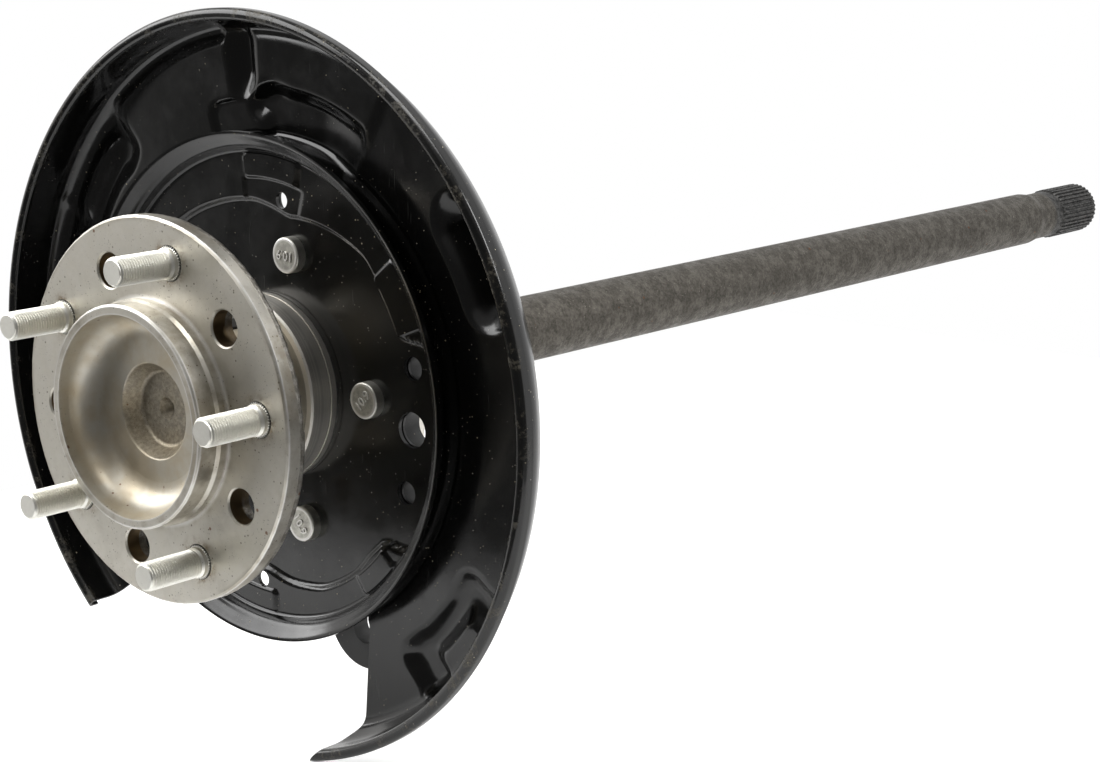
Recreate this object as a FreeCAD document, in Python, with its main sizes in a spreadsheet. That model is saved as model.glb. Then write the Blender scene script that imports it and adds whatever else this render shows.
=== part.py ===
import FreeCAD, Part
import math
import os

import Sketcher
from FreeCAD import Vector

# Rear axle shaft with its bearing case, parking brake backing plate, dust shield and caliper bracket.
# Origin: centre of the wheel flange's mounting face. +Y runs inboard along the shaft, +Z is up.
# Angles are measured from +X towards +Z, as seen from the wheel's side.

doc = FreeCAD.newDocument("axle_shaft")
sheet = doc.addObject("Spreadsheet::Sheet", "Sizes")

# Driving dimensions: millimetres, degrees and counts
sizes = {
    # wheel flange and pilot
    "flange_radius": 94.2,
    "flange_thickness": 12.5,
    "flange_turned_width": 7.5,
    "flange_forged_drop": 0.6,
    "flange_edge_chamfer": 1.2,
    "pilot_radius": 54.95,
    "pilot_land": 5.0,
    "pilot_nose_radius": 54.0,
    "pilot_height": 17.5,
    "pilot_nose_chamfer": 1.0,
    "cup_mouth_radius": 49.3,
    "cup_wall_draft": 1.8,
    "cup_fillet": 14.0,
    "cup_floor": 0.5,
    "dish_radius": 23.5,
    "dish_depth": 8.5,
    "dish_fillet": 5.0,
    "centre_drill_radius": 5.5,
    "centre_drill_depth": 9.0,
    # seal journal, bearing seat, shaft and spline
    "hub_root_radius": 43.0,
    "journal_radius": 31.0,
    "journal_start": 27.0,
    "shoulder_radius": 27.5,
    "shoulder_width": 3.0,
    "seat_radius": 22.5,
    "seat_runout": 3.0,
    "shaft_radius": 18.5,
    "shaft_taper_length": 24.0,
    "shaft_full_end": 824.0,
    "neck_radius": 16.8,
    "neck_start": 836.0,
    "neck_length": 12.0,
    "spline_length": 49.0,
    "spline_end": 908.0,
    "spline_radius": 18.0,
    "spline_root_radius": 16.9,
    "spline_teeth": 34,
    "spline_tooth_root": 2.2,
    "spline_tooth_tip": 1.2,
    "spline_end_chamfer": 1.5,
    "end_drill_radius": 4.0,
    "end_drill_depth": 7.0,
    # wheel studs and the flange's holes
    "stud_count": 5,
    "stud_circle": 75.0,
    "stud_angle": 77.7,
    "stud_radius": 7.0,
    "stud_reach": 33.8,
    "stud_tip_chamfer": 1.0,
    "stud_relief_radius": 6.5,
    "stud_relief_width": 1.2,
    "stud_collar_radius": 7.5,
    "stud_collar_reach": 3.2,
    "stud_knurl_radius": 7.95,
    "stud_knurl_set_back": 1.2,
    "stud_mouth_radius": 8.75,
    "stud_head_radius": 11.0,
    "stud_head_height": 4.0,
    "access_circle": 71.0,
    "access_angle": 41.5,
    "access_radius": 8.6,
    "access_chamfer": 0.8,
    # deep groove ball bearing 45 x 85 x 19
    "bearing_start": 72.0,
    "bearing_width": 19.0,
    "bearing_outer_radius": 42.5,
    "ball_radius": 6.35,
    "ball_circle": 32.5,
    "ball_count": 9,
    "ball_gap": 0.05,
    "race_radius": 6.6,
    "ball_phase": 11.0,
    "inner_land_radius": 28.6,
    "outer_land_radius": 36.4,
    "ring_chamfer": 0.8,
    "cage_thickness": 1.2,
    "cage_ball_gap": 0.15,
    "cage_half_width": 2.7,
    "rivet_radius": 1.1,
    "rivet_head_radius": 1.9,
    "rivet_head_height": 0.6,
    "shield_disc_thickness": 0.5,
    "shield_disc_set_back": 0.6,
    "shield_disc_bite": 1.2,
    "shield_disc_gap": 0.35,
    # bearing case
    "snout_front": 59.6,
    "snout_radius": 47.4,
    "snout_chamfer": 1.0,
    "snout_groove_place": 12.0,
    "snout_groove_width": 1.2,
    "snout_groove_depth": 0.4,
    "case_rib_radius": 38.5,
    "case_rib_width": 2.0,
    "case_flange_radius": 84.0,
    "case_flange_thickness": 12.0,
    "case_pilot_length": 11.0,
    "case_pilot_step": 0.9,
    "case_edge_chamfer": 1.5,
    "case_ring_width": 1.8,
    "case_ring_depth": 1.7,
    "case_ring_height": 4.2,
    "case_ring_opening": 36.0,
    "o_ring_radius": 1.3,
    "o_ring_place": 7.0,
    "o_ring_squeeze": 0.05,
    # radial shaft seal
    "seal_set_back": 1.0,
    "seal_width": 8.6,
    "seal_wall": 1.2,
    "seal_flange_radius": 36.5,
    "seal_lip_gap": 0.05,
    "garter_radius": 0.9,
    # retainer, speed ring and snap ring on the shaft
    "retainer_width": 12.0,
    "retainer_radius": 29.0,
    "tone_width": 10.0,
    "tone_radius": 37.0,
    "tone_root_radius": 33.5,
    "tone_hub_radius": 28.0,
    "tone_teeth": 48,
    "tone_slot_width": 2.3,
    "shaft_ring_width": 1.75,
    "shaft_ring_depth": 1.6,
    "shaft_ring_height": 4.6,
    "shaft_ring_opening": 40.0,
    "ring_slack": 0.05,
    # case bolts
    "bolt_count": 5,
    "bolt_circle": 71.0,
    "bolt_angle": 2.8,
    "bolt_radius": 6.0,
    "bolt_shoulder_radius": 6.3,
    "bolt_relief_radius": 5.2,
    "bolt_relief_half": 1.0,
    "bolt_hole_gap": 0.2,
    "bolt_head_radius": 9.0,
    "bolt_head_height": 5.5,
    "bolt_head_round": 1.0,
    "bolt_reach": 27.0,
    "bolt_tip_chamfer": 1.0,
    # backing plate
    "plate_face": 76.0,
    "plate_thickness": 3.0,
    "plate_bore_gap": 0.2,
    "plate_rim_foot": 118.5,
    "plate_rim_back": 120.6,
    "plate_rim_radius": 129.8,
    "plate_rim_edge": 2.2,
    "plate_rim_front": 62.0,
    "plate_track_height": 3.0,
    "plate_pad_height": 1.4,
    "plate_low_pad_height": 0.7,
    "pad_outer": 117.0,
    "top_pad_inner": 105.0,
    "top_pad_start": 76.0,
    "top_pad_stop": 95.5,
    "hold_pad_inner": 92.5,
    "hold_pad_outer": 104.0,
    "hold_pad_start": 73.5,
    "hold_pad_stop": 97.0,
    "foot_pad_start": 254.5,
    "foot_pad_stop": 272.0,
    "foot_pad_inner": 108.0,
    "upper_pad_start": 21.5,
    "upper_pad_stop": 39.5,
    "upper_pad_inner": 100.0,
    "lower_pad_start": 306.0,
    "lower_pad_stop": 319.5,
    "lower_pad_inner": 106.0,
    "hold_hole_radius": 4.0,
    "hold_top_circle": 95.8,
    "hold_top_angle": 81.8,
    "hold_foot_circle": 101.7,
    "hold_foot_angle": 266.6,
    "anchor_circle": 101.8,
    "anchor_upper_angle": 12.7,
    "anchor_lower_angle": 337.3,
    "anchor_hole_radius": 5.9,
    "cable_circle": 98.5,
    "cable_angle": 355.6,
    "cable_hole_radius": 8.8,
    # dust shield
    "shield_thickness": 1.2,
    "shield_bore_gap": 0.6,
    "shield_rise": 2.0,
    "shield_rise_start": 124.0,
    "shield_rise_width": 3.0,
    "shield_wall_radius": 182.0,
    "shield_wall_fillet": 11.5,
    "shield_roll_width": 6.0,
    "shield_front": 54.3,
    "roll_fillet": 2.9,
    "roll_skirt": 6.7,
    "recess_depth": 6.0,
    "low_panel_start": 89.5,
    "low_panel_stop": 107.5,
    "low_panel_inner": 0.064,
    "low_panel_outer": 0.318,
    "low_panel_depth": 1.8,
    "left_pocket_start": 134.0,
    "left_pocket_stop": 168.0,
    "left_pocket_inner": 0.327,
    "left_pocket_outer": 0.609,
    "right_floor_start": 302.0,
    "right_floor_stop": 60.6,
    "right_floor_inner": 0.064,
    "right_floor_outer": 0.809,
    "right_floor_depth": 2.0,
    "side_pocket_start": 18.0,
    "side_pocket_stop": 41.0,
    "side_pocket_inner": 0.336,
    "side_pocket_outer": 0.764,
    "side_pocket_depth": 21.0,
    "foot_pocket_start": 307.0,
    "foot_pocket_stop": 327.0,
    "foot_pocket_inner": 0.473,
    "foot_pocket_outer": 0.81,
    "foot_pocket_depth": 8.0,
    "notch_right": 65.2,
    "notch_right_foot": 60.3,
    "notch_foot": 0.883,
    "notch_lip": 46.8,
    "notch_lip_foot": 0.953,
    "notch_tip_x": 40.8,
    "notch_left_angle": 227.3,
    "notch_inner": 116.0,
    "notch_round": 12.0,
    # caliper bracket
    "bracket_thickness": 10.0,
    "bracket_radius": 86.0,
    "ear_circle": 126.5,
    "ear_radius": 25.0,
    "ear_right_angle": 298.3,
    "ear_left_angle": 222.1,
    "ear_neck_half": 23.0,
    "ear_hole_circle": 130.0,
    "ear_hole_right_angle": 297.3,
    "ear_hole_left_angle": 223.1,
    "ear_hole_radius": 8.0,
    "lobe_start": 326.0,
    "lobe_stop": 24.0,
    "lobe_inner": 70.0,
    "lobe_outer": 114.0,
    "lobe_round": 9.0,
}


class Size:
    # a value together with the formula that gives it in the sheet
    def __init__(self, formula, value):
        self.formula = formula
        self.value = value

    def __add__(self, other):
        other = as_size(other)
        return Size("({} + {})".format(self.formula, other.formula), self.value + other.value)

    def __sub__(self, other):
        other = as_size(other)
        return Size("({} - {})".format(self.formula, other.formula), self.value - other.value)

    def __mul__(self, other):
        other = as_size(other)
        return Size("({} * {})".format(self.formula, other.formula), self.value * other.value)

    def __truediv__(self, other):
        other = as_size(other)
        return Size("({} / {})".format(self.formula, other.formula), self.value / other.value)

    def __neg__(self):
        return Size("(0 - {})".format(self.formula), -self.value)


class Sizes:
    pass


def as_size(number):
    if isinstance(number, Size):
        return number
    return Size("({})".format(float(number)), float(number))


def cosine(angle):
    return Size("cos({} * 1 deg)".format(angle.formula), math.cos(math.radians(angle.value)))


def sine(angle):
    return Size("sin({} * 1 deg)".format(angle.formula), math.sin(math.radians(angle.value)))


s = Sizes()
for row, (alias, number) in enumerate(sizes.items(), start=1):
    sheet.set("A{}".format(row), str(number))
    sheet.setAlias("A{}".format(row), alias)
    setattr(s, alias, Size("Sizes.{}".format(alias), float(number)))
doc.recompute()


# Helpers for bodies, sketches and features

parts = []


def new_body(label):
    body = doc.addObject("PartDesign::Body", label)
    body.Label = label
    parts.append(body)
    return body


def origin_feature(body, role):
    return [feature for feature in body.Origin.OriginFeatures if feature.Role == role][0]


def bind(thing, name, size):
    thing.setExpression(name, size.formula)


def new_sketch(body, role, station=None):
    # station is the sketch plane's place along Y, for a sketch that faces the wheel's side
    sketch = body.newObject("Sketcher::SketchObject", body.Label + "_sketch")
    sketch.AttachmentSupport = [(origin_feature(body, role), "")]
    sketch.MapMode = "FlatFace"
    if station is not None:
        bind(sketch, "AttachmentOffset.Base.z", -station)
    return sketch


class Plan:
    # geometry and constraints gathered for one sketch, then added and bound to the sheet together
    def __init__(self):
        self.geometry = []
        self.helper_points = []
        self.constraints = []
        self.bound = []

    def draw(self, thing):
        self.geometry.append(thing)
        return len(self.geometry) - 1

    def helper(self, spot):
        # a construction point; those are added after the drawn geometry
        self.helper_points.append(spot)
        return ("helper", len(self.helper_points) - 1)

    def hold(self, kind, *items):
        self.constraints.append((kind, items, None))

    def measure(self, kind, *items):
        self.constraints.append((kind, items[:-1], items[-1]))

    def place(self, thing, end, across, up):
        self.measure("DistanceX", -1, 1, thing, end, across)
        self.measure("DistanceY", -1, 1, thing, end, up)

    def finish(self, sketch):
        sketch.addGeometry(self.geometry)
        if self.helper_points:
            sketch.addGeometry([Part.Point(spot) for spot in self.helper_points], True)
        drawn = len(self.geometry)
        made = []
        for kind, items, size in self.constraints:
            items = [drawn + item[1] if isinstance(item, tuple) else item for item in items]
            if size is not None:
                self.bound.append((len(made), size))
                items.append(size.value)
            made.append(Sketcher.Constraint(kind, *items))
        sketch.addConstraint(made)
        for constraint, size in self.bound:
            sketch.setExpression("Constraints[{}]".format(constraint), size.formula)


def draw_outline(sketch, corners):
    # corners: (across, up) or (across, up, fillet), each a Size, in order round a closed outline
    plan = Plan()
    flat = [Vector(corner[0].value, corner[1].value, 0) for corner in corners]
    count = len(corners)
    cuts = []
    for index, corner in enumerate(corners):
        here = flat[index]
        before = (flat[index - 1] - here).normalize()
        after = (flat[(index + 1) % count] - here).normalize()
        if len(corner) == 2:
            cuts.append(None)
            continue
        half = before.getAngle(after) / 2
        reach = corner[2].value / math.tan(half)
        centre = here + (before + after).normalize() * (corner[2].value / math.sin(half))
        left_turn = before.cross(after).z < 0
        cuts.append((here + before * reach, here + after * reach, centre, left_turn))
    lines = []
    for index in range(count):
        after = (index + 1) % count
        start = cuts[index][1] if cuts[index] else flat[index]
        stop = cuts[after][0] if cuts[after] else flat[after]
        lines.append(plan.draw(Part.LineSegment(start, stop)))
    for index, corner in enumerate(corners):
        line_in = lines[index - 1]
        line_out = lines[index]
        if not cuts[index]:
            plan.hold("Coincident", line_in, 2, line_out, 1)
            plan.place(line_out, 1, corner[0], corner[1])
            continue
        enter, leave, centre, left_turn = cuts[index]
        circle = Part.Circle(centre, Vector(0, 0, 1), corner[2].value)
        angle_in = circle.parameter(enter)
        angle_out = circle.parameter(leave)
        ends = (angle_in, angle_out) if left_turn else (angle_out, angle_in)
        arc = plan.draw(Part.ArcOfCircle(circle, ends[0], ends[1]))
        plan.hold("Tangent", line_in, 2, arc, 1 if left_turn else 2)
        plan.hold("Tangent", line_out, 1, arc, 2 if left_turn else 1)
        plan.measure("Radius", arc, corner[2])
        point = plan.helper(flat[index])
        plan.hold("PointOnObject", point, 1, line_in)
        plan.hold("PointOnObject", point, 1, line_out)
        plan.place(point, 1, corner[0], corner[1])
    plan.finish(sketch)


def draw_circle(sketch, radius, across, up):
    plan = Plan()
    centre = Vector(across.value, up.value, 0)
    circle = plan.draw(Part.Circle(centre, Vector(0, 0, 1), radius.value))
    plan.place(circle, 3, across, up)
    plan.measure("Radius", circle, radius)
    plan.finish(sketch)


def draw_sector(sketch, inner, outer, start, stop, corner):
    # a ring sector round the axis with rounded corners, from angle start anticlockwise to stop
    plan = Plan()
    axis = Vector(0, 0, 1)
    low = math.radians(start.value)
    high = math.radians(stop.value)
    if high < low:
        high = high + 2 * math.pi
    round_off = corner.value

    def polar(radius, angle):
        return Vector(radius * math.cos(angle), radius * math.sin(angle), 0)

    outer_mid = outer.value - round_off
    inner_mid = inner.value + round_off
    outer_turn = math.asin(round_off / outer_mid)
    inner_turn = math.asin(round_off / inner_mid)
    outer_reach = math.sqrt(outer_mid ** 2 - round_off ** 2)
    inner_reach = math.sqrt(inner_mid ** 2 - round_off ** 2)
    home = Vector(0, 0, 0)
    big = Part.ArcOfCircle(Part.Circle(home, axis, outer.value), low + outer_turn, high - outer_turn)
    small = Part.ArcOfCircle(Part.Circle(home, axis, inner.value), low + inner_turn, high - inner_turn)
    big = plan.draw(big)
    small = plan.draw(small)
    side_low = plan.draw(Part.LineSegment(polar(inner_reach, low), polar(outer_reach, low)))
    side_high = plan.draw(Part.LineSegment(polar(outer_reach, high), polar(inner_reach, high)))

    def corner_arc(middle, turn, from_angle, to_angle):
        circle = Part.Circle(polar(middle, turn), axis, round_off)
        return plan.draw(Part.ArcOfCircle(circle, from_angle, to_angle))

    quarter = math.pi / 2
    turned = math.pi
    outer_low = corner_arc(outer_mid, low + outer_turn, low - quarter, low + outer_turn)
    outer_high = corner_arc(outer_mid, high - outer_turn, high - outer_turn, high + quarter)
    inner_high = corner_arc(inner_mid, high - inner_turn, high + quarter, high - inner_turn + turned)
    inner_low = corner_arc(inner_mid, low + inner_turn, low + inner_turn + turned, low - quarter + 2 * turned)
    joins = [
        (side_low, 2, outer_low, 1), (outer_low, 2, big, 1), (big, 2, outer_high, 1),
        (outer_high, 2, side_high, 1), (side_high, 2, inner_high, 1), (inner_high, 2, small, 2),
        (small, 1, inner_low, 1), (inner_low, 2, side_low, 1),
    ]
    for first, first_end, second, second_end in joins:
        plan.hold("Tangent", first, first_end, second, second_end)
    for arc, radius in ((big, outer), (small, inner)):
        plan.hold("Coincident", arc, 3, -1, 1)
        plan.measure("Radius", arc, radius)
    for arc in (outer_low, outer_high, inner_high, inner_low):
        plan.measure("Radius", arc, corner)
    # each side points at the axis, and passes a point worked out from its own angle
    for line, angle in ((side_low, start), (side_high, stop)):
        point = plan.helper(polar(outer.value, math.radians(angle.value)))
        plan.hold("PointOnObject", point, 1, line)
        plan.hold("PointOnObject", -1, 1, line)
        plan.place(point, 1, outer * cosine(angle), outer * sine(angle))
    plan.finish(sketch)


def turn_round(body, corners, kind="PartDesign::Revolution"):
    # a profile of (place along Y, radius) corners, turned about the axle's axis
    sketch = new_sketch(body, "YZ_Plane")
    draw_outline(sketch, corners)
    feature = body.newObject(kind, body.Label + "_turned")
    feature.Profile = sketch
    feature.ReferenceAxis = (origin_feature(body, "Y_Axis"), [""])
    feature.Angle = 360
    return feature


def prism(body, draw, station, length, kind, inboard, taper=None):
    # a pad or pocket of an outline that faces the wheel's side, from station along Y
    sketch = new_sketch(body, "XZ_Plane", station)
    draw(sketch)
    feature = body.newObject(kind, body.Label + "_prism")
    feature.Profile = sketch
    bind(feature, "Length", length)
    feature.Reversed = inboard if kind == "PartDesign::Pad" else not inboard
    if taper is not None:
        feature.TaperAngle = taper
    return feature


def repeat(body, features, count):
    pattern = body.newObject("PartDesign::PolarPattern", body.Label + "_pattern")
    pattern.Originals = features
    pattern.Axis = (origin_feature(body, "Y_Axis"), [""])
    pattern.Angle = 360
    bind(pattern, "Occurrences", count)
    body.Tip = pattern
    return pattern


def hole(body, radius, circle, angle, station, depth):
    def draw(sketch):
        draw_circle(sketch, radius, circle * cosine(angle), circle * sine(angle))
    return prism(body, draw, station, depth, "PartDesign::Pocket", True)


def torus_body(label, ring_radius, wire_radius, station):
    body = new_body(label)
    sketch = new_sketch(body, "YZ_Plane")
    draw_circle(sketch, wire_radius, station, ring_radius)
    feature = body.newObject("PartDesign::Revolution", label + "_turned")
    feature.Profile = sketch
    feature.ReferenceAxis = (origin_feature(body, "Y_Axis"), [""])
    feature.Angle = 360
    return body


def circular_edges(feature, radius, station, tolerance=0.01):
    # names of the circular edges of one radius that lie at one place along Y
    names = []
    for index, edge in enumerate(feature.Shape.Edges, start=1):
        curve = edge.Curve
        if not hasattr(curve, "Radius"):
            continue
        if abs(curve.Radius - radius) < tolerance and abs(curve.Center.y - station) < tolerance:
            names.append("Edge{}".format(index))
    return names


def chamfer_edges(body, base, names, width):
    doc.recompute()
    feature = body.newObject("PartDesign::Chamfer", body.Label + "_chamfer")
    feature.Base = (base, names)
    bind(feature, "Size", width)
    return feature


# Places along the axle that several pieces share

nothing = as_size(0)
beyond = as_size(40)
plate_back = s.plate_face + s.plate_thickness
shield_back = plate_back + s.shield_thickness
bracket_back = shield_back + s.bracket_thickness
shield_edge = s.shield_wall_radius + s.shield_roll_width
case_back = bracket_back + s.case_flange_thickness
case_end = case_back + s.case_pilot_length
bearing_end = s.bearing_start + s.bearing_width
bearing_middle = s.bearing_start + s.bearing_width / 2
retainer_end = bearing_end + s.retainer_width
tone_end = retainer_end + s.tone_width
shaft_ring_end = tone_end + s.shaft_ring_width
seat_end = shaft_ring_end + s.seat_runout
seal_front = s.snout_front + s.seal_set_back
seal_back = seal_front + s.seal_width


def make_axle_shaft():
    body = new_body("axle_shaft")
    forged_radius = s.flange_radius - s.flange_forged_drop
    spline_start = s.spline_end - s.spline_length
    cup_floor_radius = s.cup_mouth_radius - s.cup_wall_draft
    profile = [
        (s.cup_floor + s.dish_depth + s.centre_drill_depth, nothing),
        (s.cup_floor + s.dish_depth, s.centre_drill_radius),
        (s.cup_floor + s.dish_depth, s.dish_radius - s.dish_fillet, s.dish_fillet / 2),
        (s.cup_floor, s.dish_radius, s.dish_fillet / 4),
        (s.cup_floor, cup_floor_radius, s.cup_fillet),
        (-s.pilot_height, s.cup_mouth_radius),
        (-s.pilot_height, s.pilot_nose_radius - s.pilot_nose_chamfer),
        (-s.pilot_height + s.pilot_nose_chamfer, s.pilot_nose_radius),
        (-s.pilot_land - (s.pilot_radius - s.pilot_nose_radius) * 2, s.pilot_nose_radius),
        (-s.pilot_land, s.pilot_radius),
        (nothing, s.pilot_radius),
        (nothing, s.flange_radius - s.flange_edge_chamfer),
        (s.flange_edge_chamfer, s.flange_radius),
        (s.flange_turned_width, s.flange_radius),
        (s.flange_turned_width + s.flange_forged_drop, forged_radius),
        (s.flange_thickness, forged_radius, s.flange_edge_chamfer * 2),
        (s.flange_thickness, s.hub_root_radius, s.flange_edge_chamfer * 3),
        (s.journal_start, s.journal_radius),
        (s.bearing_start - s.shoulder_width, s.journal_radius),
        (s.bearing_start - s.shoulder_width, s.shoulder_radius),
        (s.bearing_start, s.shoulder_radius),
        (s.bearing_start, s.seat_radius),
        (tone_end, s.seat_radius),
        (tone_end, s.seat_radius - s.shaft_ring_depth),
        (shaft_ring_end, s.seat_radius - s.shaft_ring_depth),
        (shaft_ring_end, s.seat_radius),
        (seat_end, s.seat_radius),
        (seat_end + s.shaft_taper_length, s.shaft_radius),
        (s.shaft_full_end, s.shaft_radius),
        (s.neck_start, s.neck_radius),
        (s.neck_start + s.neck_length, s.neck_radius),
        (spline_start, s.spline_root_radius),
        (s.spline_end, s.spline_root_radius),
        (s.spline_end, s.end_drill_radius),
        (s.spline_end - s.end_drill_depth, nothing),
    ]
    turn_round(body, profile)

    # spline: one tooth, repeated round the shaft, with its ends turned off at a slope
    def draw_tooth(sketch):
        root = s.spline_root_radius - 0.3
        half_root = s.spline_tooth_root / 2
        half_tip = s.spline_tooth_tip / 2
        draw_outline(sketch, [
            (root, -half_root), (s.spline_radius, -half_tip),
            (s.spline_radius, half_tip), (root, half_root),
        ])
    tooth = prism(body, draw_tooth, spline_start, s.spline_length, "PartDesign::Pad", True)
    repeat(body, [tooth], s.spline_teeth)
    outside = s.spline_radius + 1
    turn_round(body, [
        (spline_start, s.spline_root_radius), (spline_start, outside),
        (spline_start + (outside - s.spline_root_radius) * 1.5, outside),
    ], "PartDesign::Groove")
    turn_round(body, [
        (s.spline_end - s.spline_end_chamfer - 1, outside), (s.spline_end, outside),
        (s.spline_end, s.spline_radius - s.spline_end_chamfer),
    ], "PartDesign::Groove")

    # stud holes with a wider mouth, and the access holes between them
    bore = hole(body, s.stud_knurl_radius, s.stud_circle, s.stud_angle, nothing, s.flange_thickness)
    mouth = hole(body, s.stud_mouth_radius, s.stud_circle, s.stud_angle, nothing, s.stud_knurl_set_back)
    access = hole(body, s.access_radius, s.access_circle, s.access_angle, nothing, beyond)
    pattern = repeat(body, [bore, mouth, access], s.stud_count)
    doc.recompute()
    names = circular_edges(pattern, s.access_radius.value, 0)
    chamfer_edges(body, pattern, names, s.access_chamfer)


def make_wheel_studs():
    body = new_body("wheel_studs")
    head_end = s.flange_thickness + s.stud_head_height
    relief_end = -s.stud_collar_reach
    relief_start = relief_end - s.stud_relief_width

    # the stud is turned about an axis through the sketch at the studs' circle, straight above the origin
    sketch = new_sketch(body, "YZ_Plane")
    circle = s.stud_circle
    draw_outline(sketch, [
        (-s.stud_reach, circle),
        (-s.stud_reach, circle + s.stud_radius - s.stud_tip_chamfer),
        (-s.stud_reach + s.stud_tip_chamfer, circle + s.stud_radius),
        (relief_start, circle + s.stud_radius),
        (relief_start, circle + s.stud_relief_radius),
        (relief_end, circle + s.stud_relief_radius),
        (relief_end, circle + s.stud_collar_radius),
        (s.stud_knurl_set_back, circle + s.stud_collar_radius),
        (s.stud_knurl_set_back, circle + s.stud_knurl_radius),
        (s.flange_thickness, circle + s.stud_knurl_radius),
        (s.flange_thickness, circle + s.stud_head_radius),
        (head_end, circle + s.stud_head_radius, s.stud_tip_chamfer),
        (head_end, circle),
    ])
    axis = sketch.addGeometry(Part.LineSegment(Vector(-60, circle.value, 0), Vector(-50, circle.value, 0)), True)
    sketch.addConstraint(Sketcher.Constraint("Horizontal", axis))
    height = sketch.addConstraint(Sketcher.Constraint("DistanceY", -1, 1, axis, 1, circle.value))
    sketch.setExpression("Constraints[{}]".format(height), circle.formula)
    feature = body.newObject("PartDesign::Revolution", "wheel_studs_turned")
    feature.Profile = sketch
    feature.ReferenceAxis = (sketch, ["Axis0"])
    feature.Angle = 360
    repeat(body, [feature], s.stud_count)
    body.Placement.Rotation = FreeCAD.Rotation(Vector(0, 1, 0), 90 - s.stud_angle.value)
    bind(body, "Placement.Rotation.Angle", -s.stud_angle + 90)


def make_case_bolts():
    body = new_body("case_bolts")
    circle = s.bolt_circle
    head_front = s.plate_face - s.bolt_head_height
    tip = case_back + s.bolt_reach
    sketch = new_sketch(body, "YZ_Plane")
    draw_outline(sketch, [
        (head_front, circle),
        (head_front, circle + s.bolt_head_radius, s.bolt_head_round),
        (s.plate_face, circle + s.bolt_head_radius),
        (s.plate_face, circle + s.bolt_shoulder_radius),
        (case_back - s.bolt_relief_half, circle + s.bolt_shoulder_radius),
        (case_back - s.bolt_relief_half, circle + s.bolt_relief_radius),
        (case_back + s.bolt_relief_half, circle + s.bolt_relief_radius),
        (case_back + s.bolt_relief_half, circle + s.bolt_radius),
        (tip - s.bolt_tip_chamfer, circle + s.bolt_radius),
        (tip, circle + s.bolt_radius - s.bolt_tip_chamfer),
        (tip, circle),
    ])
    axis = sketch.addGeometry(Part.LineSegment(Vector(20, circle.value, 0), Vector(30, circle.value, 0)), True)
    sketch.addConstraint(Sketcher.Constraint("Horizontal", axis))
    height = sketch.addConstraint(Sketcher.Constraint("DistanceY", -1, 1, axis, 1, circle.value))
    sketch.setExpression("Constraints[{}]".format(height), circle.formula)
    feature = body.newObject("PartDesign::Revolution", "case_bolts_turned")
    feature.Profile = sketch
    feature.ReferenceAxis = (sketch, ["Axis0"])
    feature.Angle = 360
    repeat(body, [feature], s.bolt_count)
    body.Placement.Rotation = FreeCAD.Rotation(Vector(0, 1, 0), 90 - s.bolt_angle.value)
    bind(body, "Placement.Rotation.Angle", -s.bolt_angle + 90)


def make_bearing():
    middle = bearing_middle
    race_offset = s.race_radius - s.ball_radius - s.ball_gap

    # inner ring
    inner = new_body("bearing_inner_ring")
    turn_round(inner, [
        (s.bearing_start, s.seat_radius + s.ring_chamfer),
        (s.bearing_start, s.inner_land_radius),
        (bearing_end, s.inner_land_radius),
        (bearing_end, s.seat_radius + s.ring_chamfer),
        (bearing_end - s.ring_chamfer, s.seat_radius),
        (s.bearing_start + s.ring_chamfer, s.seat_radius),
    ])
    race_groove(inner, middle, s.ball_circle + race_offset)

    # outer ring, with a step at each side for the dust shield
    outer = new_body("bearing_outer_ring")
    step = s.shield_disc_set_back + s.shield_disc_thickness
    step_radius = s.outer_land_radius + s.shield_disc_bite
    turn_round(outer, [
        (s.bearing_start, step_radius),
        (s.bearing_start, s.bearing_outer_radius - s.ring_chamfer),
        (s.bearing_start + s.ring_chamfer, s.bearing_outer_radius),
        (bearing_end - s.ring_chamfer, s.bearing_outer_radius),
        (bearing_end, s.bearing_outer_radius - s.ring_chamfer),
        (bearing_end, step_radius),
        (bearing_end - step, step_radius),
        (bearing_end - step, s.outer_land_radius),
        (s.bearing_start + step, s.outer_land_radius),
        (s.bearing_start + step, step_radius),
    ])
    race_groove(outer, middle, s.ball_circle - race_offset)

    # pressed dust shields, seated in the outer ring's steps
    disc_inner = s.inner_land_radius + s.shield_disc_gap
    for label, start in (
        ("bearing_shield_outboard", s.bearing_start + s.shield_disc_set_back),
        ("bearing_shield_inboard", bearing_end - step),
    ):
        disc = new_body(label)
        stop = start + s.shield_disc_thickness
        turn_round(disc, [
            (start, disc_inner), (start, step_radius), (stop, step_radius), (stop, disc_inner),
        ])


def race_groove(body, middle, circle):
    sketch = new_sketch(body, "XY_Plane")
    draw_circle(sketch, s.race_radius, circle, middle)
    feature = body.newObject("PartDesign::Groove", body.Label + "_race")
    feature.Profile = sketch
    feature.ReferenceAxis = (origin_feature(body, "Y_Axis"), [""])
    feature.Angle = 360
    feature.Reversed = True


def ring_of(kind, count, circle, station, phase, set_up):
    # primitives set evenly round the axis, at one radius and one place along Y
    things = []
    for index in range(int(count.value)):
        thing = doc.addObject(kind, "{}_{}".format(kind.split("::")[1].lower(), index))
        turn = as_size(360) / count * index + phase
        set_up(thing, turn)
        bind(thing, "Placement.Base.x", circle * cosine(turn))
        bind(thing, "Placement.Base.y", station)
        bind(thing, "Placement.Base.z", circle * sine(turn))
        things.append(thing)
    return things


def compound(label, things):
    group = doc.addObject("Part::Compound", label)
    group.Links = things
    group.Label = label
    return group


def along_y(thing):
    thing.Placement.Rotation = FreeCAD.Rotation(Vector(1, 0, 0), -90)


def along_radius(thing, turn):
    thing.Placement.Rotation = FreeCAD.Rotation(Vector(0, 1, 0), 90 - turn.value)
    bind(thing, "Placement.Rotation.Angle", -turn + 90)


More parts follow.
